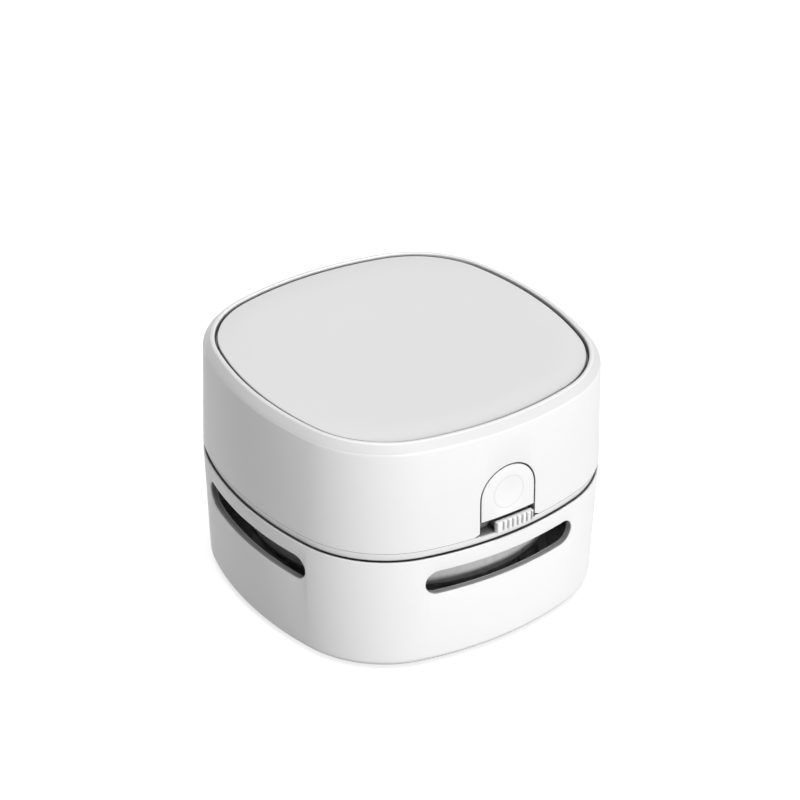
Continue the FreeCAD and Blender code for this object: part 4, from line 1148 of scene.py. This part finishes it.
def screw_pattern(seat, up, length):
    """A pan-head screw on the Z axis with a cross recess, whose thread runs up or down from its seat."""
    outer = seat - up * SCREW_HEAD
    tip = seat + up * length
    profile = [
        (0, outer),
        (SCREW_HEAD_RADIUS - SCREW_HEAD_BEVEL, outer),
        (SCREW_HEAD_RADIUS, outer + up * SCREW_HEAD_BEVEL),
        (SCREW_HEAD_RADIUS, seat),
        (SCREW_RADIUS, seat),
    ]
    for turn in range(int(length / THREAD_PITCH) - 1):
        z = seat + up * (turn + 0.5) * THREAD_PITCH
        profile += [(SCREW_CORE, z), (SCREW_RADIUS, z + up * THREAD_PITCH / 2)]
    profile += [(SCREW_CORE, tip - up * SCREW_POINT), (0, tip)]
    screw = lathe("screw", profile, SMALL_STEPS)
    low, high = sorted((outer + up * RECESS_DEPTH, outer - up * BEYOND))
    for x, y in ((RECESS_LENGTH / 2, RECESS_WIDTH / 2), (RECESS_WIDTH / 2, RECESS_LENGTH / 2)):
        combine(screw, block("recess", (-x, -y, low), (x, y, high)))
    return screw


def make_screws():
    screw = screw_pattern(lowest("base_screws").z + SCREW_HEAD, 1, SCREW_LENGTH)
    screws = repeat("cover_screws", screw, quarter_places(COVER_SCREW_X, COVER_SCREW_X))
    finish_piece(screws, "dust_unit", "screw_steel", "base_screws")

    screw = screw_pattern(lowest("chassis_screws").z + SCREW_HEAD, 1, SCREW_LENGTH)
    screws = repeat("housing_screws", screw, quarter_places(HOUSING_SCREW_X, HOUSING_SCREW_Y))
    finish_piece(screws, "motor_unit", "screw_steel", "chassis_screws")

    screw = screw_pattern(highest("tray_screws").z - SCREW_HEAD, -1, TRAY_SCREW_LENGTH)
    screws = repeat("deck_screws", screw, [
        (TRAY_SCREW_X, 0, 15.0),
        (-TRAY_SCREW_X, 0, 48.0),
        (TRAY_SCREW_OFFSET, TRAY_SCREW_Y, 70.0),
        (-TRAY_SCREW_OFFSET, TRAY_SCREW_Y, 30.0),
    ])
    finish_piece(screws, "motor_unit", "screw_steel", "tray_screws")


def make_feet():
    foot = lathe("foot", [
        (0, 0),
        (FOOT_RADIUS - FOOT_PAD_INSET, 0, ROUND),
        (FOOT_RADIUS - FOOT_EDGE_INSET, FOOT_EDGE_HEIGHT, SMALL_ROUND),
        (FOOT_RADIUS, FOOT_TOP, FINE_ROUND),
        (0, FOOT_TOP),
    ], POST_STEPS)
    feet = repeat("table_feet", foot, quarter_places(FOOT_X, FOOT_X))
    finish_piece(feet, "dust_unit", "rubber_grey", "rubber_feet")


# Base cover and brush

def make_base_cover():
    """Round cover with the mouth, the groove of the brush, a collar and four screw pockets."""
    low, collar_top, _ = extent("base_plate")
    top = low + COVER_THICKNESS
    inner = BRUSH_RADIUS - BRUSH_HALF - CLEARANCE
    outer = BRUSH_RADIUS + BRUSH_HALF + CLEARANCE
    roof = low + BRUSH_DEPTH + CLEARANCE
    cover = lathe("base_cover", [
        (MOUTH_RADIUS, low, ROUND),
        (inner, low, EDGE_ROUND),
        (inner, roof),
        (outer, roof),
        (outer, low, SMALL_ROUND),
        (COVER_RADIUS, low, WIDE_ROUND),
        (COVER_RADIUS, top, ROUND),
        (COLLAR_RADIUS, top, WIDE_ROUND),
        (COLLAR_RADIUS, collar_top, ROUND),
        (COLLAR_BORE, collar_top, SMALL_ROUND),
        (COLLAR_BORE, top),
        (MOUTH_RADIUS, top, SMALL_ROUND),
    ])
    pocket = SCREW_HEAD_RADIUS + CLEARANCE
    for x, y, _ in quarter_places(COVER_SCREW_X, COVER_SCREW_X):
        combine(cover, rod("pocket", x, y, pocket, low - BEYOND, low + SCREW_HEAD))
    finish_piece(cover, "dust_unit", "base_white", "base_plate")


def make_brush():
    low, top, _ = extent("brush_ring")
    inner, outer = BRUSH_RADIUS - BRUSH_HALF, BRUSH_RADIUS + BRUSH_HALF
    brush = lathe("brush_carrier", [(inner, low, ROUND), (outer, low, ROUND), (outer, top), (inner, top)])
    finish_piece(brush, "dust_unit", "brush_grey", "brush_ring")
    make_bristles(low + HAIR_ROOT)


def make_bristles(root):
    """Round tufts of fine upright hairs: one in the middle and rings about it."""
    tip = lowest("bristle_tufts").z
    profile = [(0, tip), (HAIR_RADIUS, tip + HAIR_RADIUS), (HAIR_RADIUS, root), (0, root)]
    hair = lathe("hair", profile, HAIR_SIDES)
    hairs = []
    for index in range(TUFT_COUNT):
        angle = FULL_TURN * index / TUFT_COUNT
        x, y = BRUSH_RADIUS * math.cos(angle), BRUSH_RADIUS * math.sin(angle)
        for ring in range(HAIR_RINGS):
            count = max(1, ring * HAIRS_IN_RING)
            reach = ring * TUFT_RADIUS * HAIR_RING_STEP
            for place in range(count):
                turn = FULL_TURN * place / count + angle
                hairs.append((x + reach * math.cos(turn), y + reach * math.sin(turn), math.degrees(turn)))
    bristles = repeat("bristle_hairs", hair, hairs)
    finish_piece(bristles, "dust_unit", "bristle", "bristle_tufts")


# Cup fittings and filter

def make_seals():
    """The soft ring at the cup's mouth and the seal on its rim."""
    low, high, outer = extent("inlet_seal")
    seal = lathe("mouth_seal", [(outer, low), (outer, high), (MOUTH_RADIUS, high), (MOUTH_RADIUS, low)])
    finish_piece(seal, "dust_unit", "rubber_grey", "inlet_seal")

    low, high, outer = extent("cup_seal")
    inner = CUP_RADIUS - CUP_WALL
    gasket = lathe("rim_gasket", [(outer, low, ROUND), (outer, high), (inner, high), (inner, low, ROUND)])
    finish_piece(gasket, "motor_unit", "rubber_grey", "cup_seal")


def make_chimney_cap():
    """The cap over the cup's chimney, on legs that stand on the chimney's rim."""
    _, top, radius = extent("deflector_cap")
    cap = lathe("chimney_cap", [
        (0, top),
        (radius - CAP_BEVEL_WIDTH, top, BROAD_ROUND),
        (radius, top - CAP_BEVEL_HEIGHT, ROUND),
        (radius, top - CAP_THICKNESS, ROUND),
        (0, top - CAP_THICKNESS),
    ])
    leg = CUP_WALL / 2
    reach = CHIMNEY_RADIUS + leg
    for index in range(CAP_LEGS):
        angle = FULL_TURN * index / CAP_LEGS
        x, y = reach * math.cos(angle), reach * math.sin(angle)
        combine(cap, rod("leg", x, y, leg, CHIMNEY_TOP, top - CAP_THICKNESS / 2, CAP_LEG_STEPS), "UNION")
    finish_piece(cap, "dust_unit", "cup_grey", "deflector_cap")


def make_filter_basket():
    """A ring with a flat inner edge, a hub and spokes."""
    low, high, outer = extent("filter_frame")
    bars = low + FILTER_BAR
    rim = outer - FILTER_RIM
    basket = lathe("filter_basket", [
        (outer, low, WIDE_ROUND), (outer, high, SMALL_ROUND),
        (rim, high, SMALL_ROUND), (rim, bars, SMALL_ROUND),
        (rim - FILTER_RIM, bars, SMALL_ROUND), (rim - FILTER_RIM, low, ROUND),
    ])
    hub = outer / 2
    bore = hub - FILTER_BAR
    corners = [(bore, low), (hub, low), (hub, bars), (bore, bars)]
    combine(basket, lathe("hub", [(*corner, SMALL_ROUND) for corner in corners]), "UNION")
    reach, half = rim + BROAD_ROUND, FILTER_BAR / 2
    for index in range(FILTER_SPOKES // 2):
        bar = block("spoke", (-reach, -half, low + SPOKE_SINK), (reach, half, bars - SPOKE_SINK))
        round_edges(bar, lambda e: along(e, 0), SPOKE_ROUND)
        move(bar, (0, 0, 0), FULL_TURN * index / FILTER_SPOKES, "Z")
        combine(basket, bar, "UNION")
    finish_piece(basket, "motor_unit", "filter_frame", "filter_frame")


def make_filter_foam():
    low, high, radius = extent("filter_pad")
    foam = lathe("filter_foam_disc", [
        (0, low),
        (radius - FOAM_BEVEL, low, FOAM_EDGE),
        (radius, low + FOAM_EDGE, FOAM_ROUND),
        (radius, high - FOAM_EASE, EDGE_ROUND),
        (0, high),
    ])
    finish_piece(foam, "motor_unit", "filter_foam", "filter_pad")


# Motor and cells

def make_motor():
    """The motor's steel can with its nose and a rolled groove, and its moulded end with two vents."""
    low, high, radius = extent("motor_can")
    seat = high - MOTOR_HEIGHT
    can = lathe("motor_housing", [
        (MOTOR_BORE, high - MOTOR_END),
        (MOTOR_BORE, low),
        (MOTOR_NOSE, low, SMALL_ROUND),
        (MOTOR_NOSE, seat, FINE_ROUND),
        (radius, seat, MOTOR_ROUND),
        *((radius - inset, high - depth, FINE_ROUND) for inset, depth in MOTOR_GROOVE),
        (radius, high, ROUND),
        (0, high),
        (0, high - MOTOR_END),
    ])
    finish_piece(can, "motor_unit", "motor_steel", "motor_can")

    low, high, radius = extent("motor_end_cap")
    cap = lathe("motor_cap", [
        (0, low),
        (radius, low),
        (radius, high, WIDE_ROUND),
        *((r, high - depth, FINE_ROUND) for r, depth in MOTOR_END_RING),
        (0, high),
    ])
    for y in (VENT_OFFSET, -VENT_OFFSET):
        corner = (-VENT_HALF_LENGTH, y - VENT_HALF_WIDTH, high - VENT_DEPTH)
        combine(cap, block("vent", corner, (VENT_HALF_LENGTH, y + VENT_HALF_WIDTH, high + BEYOND)))
    finish_piece(cap, "motor_unit", "end_cap", "motor_end_cap")


def make_cell(node, name):
    """An AA cell along X with a crimped sleeve, a steel nipple and a flat steel end."""
    low, high = lowest(node), highest(node)
    radius = (high.y - low.y) / 2
    front = 1 if high.x > -low.x else -1
    half = (high.x - low.x - NIPPLE) / 2
    sleeve = lathe(name, [
        (0, half - NIPPLE_CRIMP[0][1]),
        *((radius - inset, half - depth, fillet) for inset, depth, fillet in NIPPLE_CRIMP),
        *((radius - inset, depth - half, fillet) for inset, depth, fillet in FLAT_CRIMP),
        (0, FLAT_CRIMP[-1][1] - half),
    ], CELL_STEPS)
    nipple = lathe("nipple", [
        (0, half + NIPPLE),
        (NIPPLE_RADIUS - NIPPLE_TAPER, half + NIPPLE, ROUND),
        (NIPPLE_RADIUS, half, SMALL_ROUND),
        (NIPPLE_RADIUS, half - CELL_END_SEAT),
        (0, half - CELL_END_SEAT),
    ], CELL_END_STEPS)
    flat_end = lathe("flat_end", [
        (0, CELL_END_SEAT - half),
        (radius - FLAT_INSET, CELL_END_SEAT - half),
        (radius - FLAT_INSET, FLAT_DEPTH - half, SMALL_ROUND),
        (0, FLAT_DEPTH - half),
    ], CELL_END_STEPS)
    centre = (0, (low.y + high.y) / 2, (low.z + high.z) / 2)
    for piece in (sleeve, nipple, flat_end):
        move(piece, centre, front * HALF_TURN / 2, "Y")
    finish_piece(sleeve, "motor_unit", "cell_sleeve", node)
    finish_piece(joined(name + "_ends", [nipple, flat_end]), "motor_unit", "contact_metal")


# Springs

def spring_wire(name, radius, tip_radius, length, turns):
    """A coil of round wire along Z from the origin, that narrows from one radius to another."""
    steps = turns * SPRING_STEPS
    deselect()
    bpy.ops.mesh.primitive_circle_add(
        vertices=WIRE_SIDES,
        radius=WIRE / 2 * MM,
        rotation=(HALF_TURN / 2, 0, 0),
        location=(radius * MM, 0, 0),
    )
    wire = bpy.context.active_object
    wire.name = name
    bpy.ops.object.transform_apply(location=True, rotation=True, scale=True)
    edit_mode()
    bpy.ops.mesh.select_all(action="SELECT")
    bpy.ops.mesh.edge_face_add()
    turn = Matrix.Rotation(FULL_TURN / SPRING_STEPS, 4, "Z")
    climb = Vector((0, 0, length / steps * MM))
    for _ in range(steps):
        bpy.ops.mesh.extrude_region_move()
        shape = bmesh.from_edit_mesh(wire.data)
        ring = [v for v in shape.verts if v.select]
        centre = sum((v.co for v in ring), Vector()) / len(ring)
        inward = Vector((centre.x, centre.y, 0)).normalized() * ((tip_radius - radius) / steps) * MM
        for v in ring:
            v.co = turn @ (v.co + inward + climb)
        bmesh.update_edit_mesh(wire.data)
    close_mesh()
    object_mode()
    return wire


def make_return_spring():
    """The button's spring, drawn at its rest length; the real one shortens towards the latch as the button
    travels.
    """
    low, high = lowest("button_spring"), highest("button_spring")
    radius = (high.x - low.x - WIRE) / 2
    spring = spring_wire("return_spring", radius, radius, high.y - low.y - WIRE, RETURN_TURNS)
    move(spring, (0, low.y + WIRE / 2, (low.z + high.z) / 2), -HALF_TURN / 2, "X")
    finish_piece(spring, "release_button", "spring_steel", "button_spring")
    joints = {joint["name"]: joint for joint in frame["record"]["behaviour"]["joints"]}
    travel = joints["button_press"]["range_m"][1]
    length = (high.y - low.y) * MM
    (length - travel) / length
    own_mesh(spring)


def make_cell_springs():
    low, high = lowest("contact_springs"), highest("contact_springs")
    offset = high.y - CONTACT_COIL - WIRE / 2
    height = (low.z + high.z) / 2
    springs = []
    for side, edge in ((1, high.x), (-1, low.x)):
        coil = spring_wire("coil", CONTACT_COIL, CONTACT_COIL_TIP, CONTACT_COIL_LENGTH, CONTACT_TURNS)
        move(coil, (edge - side * WIRE / 2, side * offset, height), -side * HALF_TURN / 2, "Y")
        springs.append(coil)
    finish_piece(joined("cell_springs", springs), "motor_unit", "contact_metal", "contact_springs")


add_camera()
set_studio()
dress_nodes()
make_lower_housing()
make_dust_bowl()
make_upper_housing()
make_lid()
make_button()
make_knob()
make_screws()
make_feet()
make_base_cover()
make_brush()
make_seals()
make_chimney_cap()
make_filter_basket()
make_filter_foam()
make_motor()
make_cell("battery_front", "front_cell")
make_cell("battery_rear", "rear_cell")
make_return_spring()
make_cell_springs()
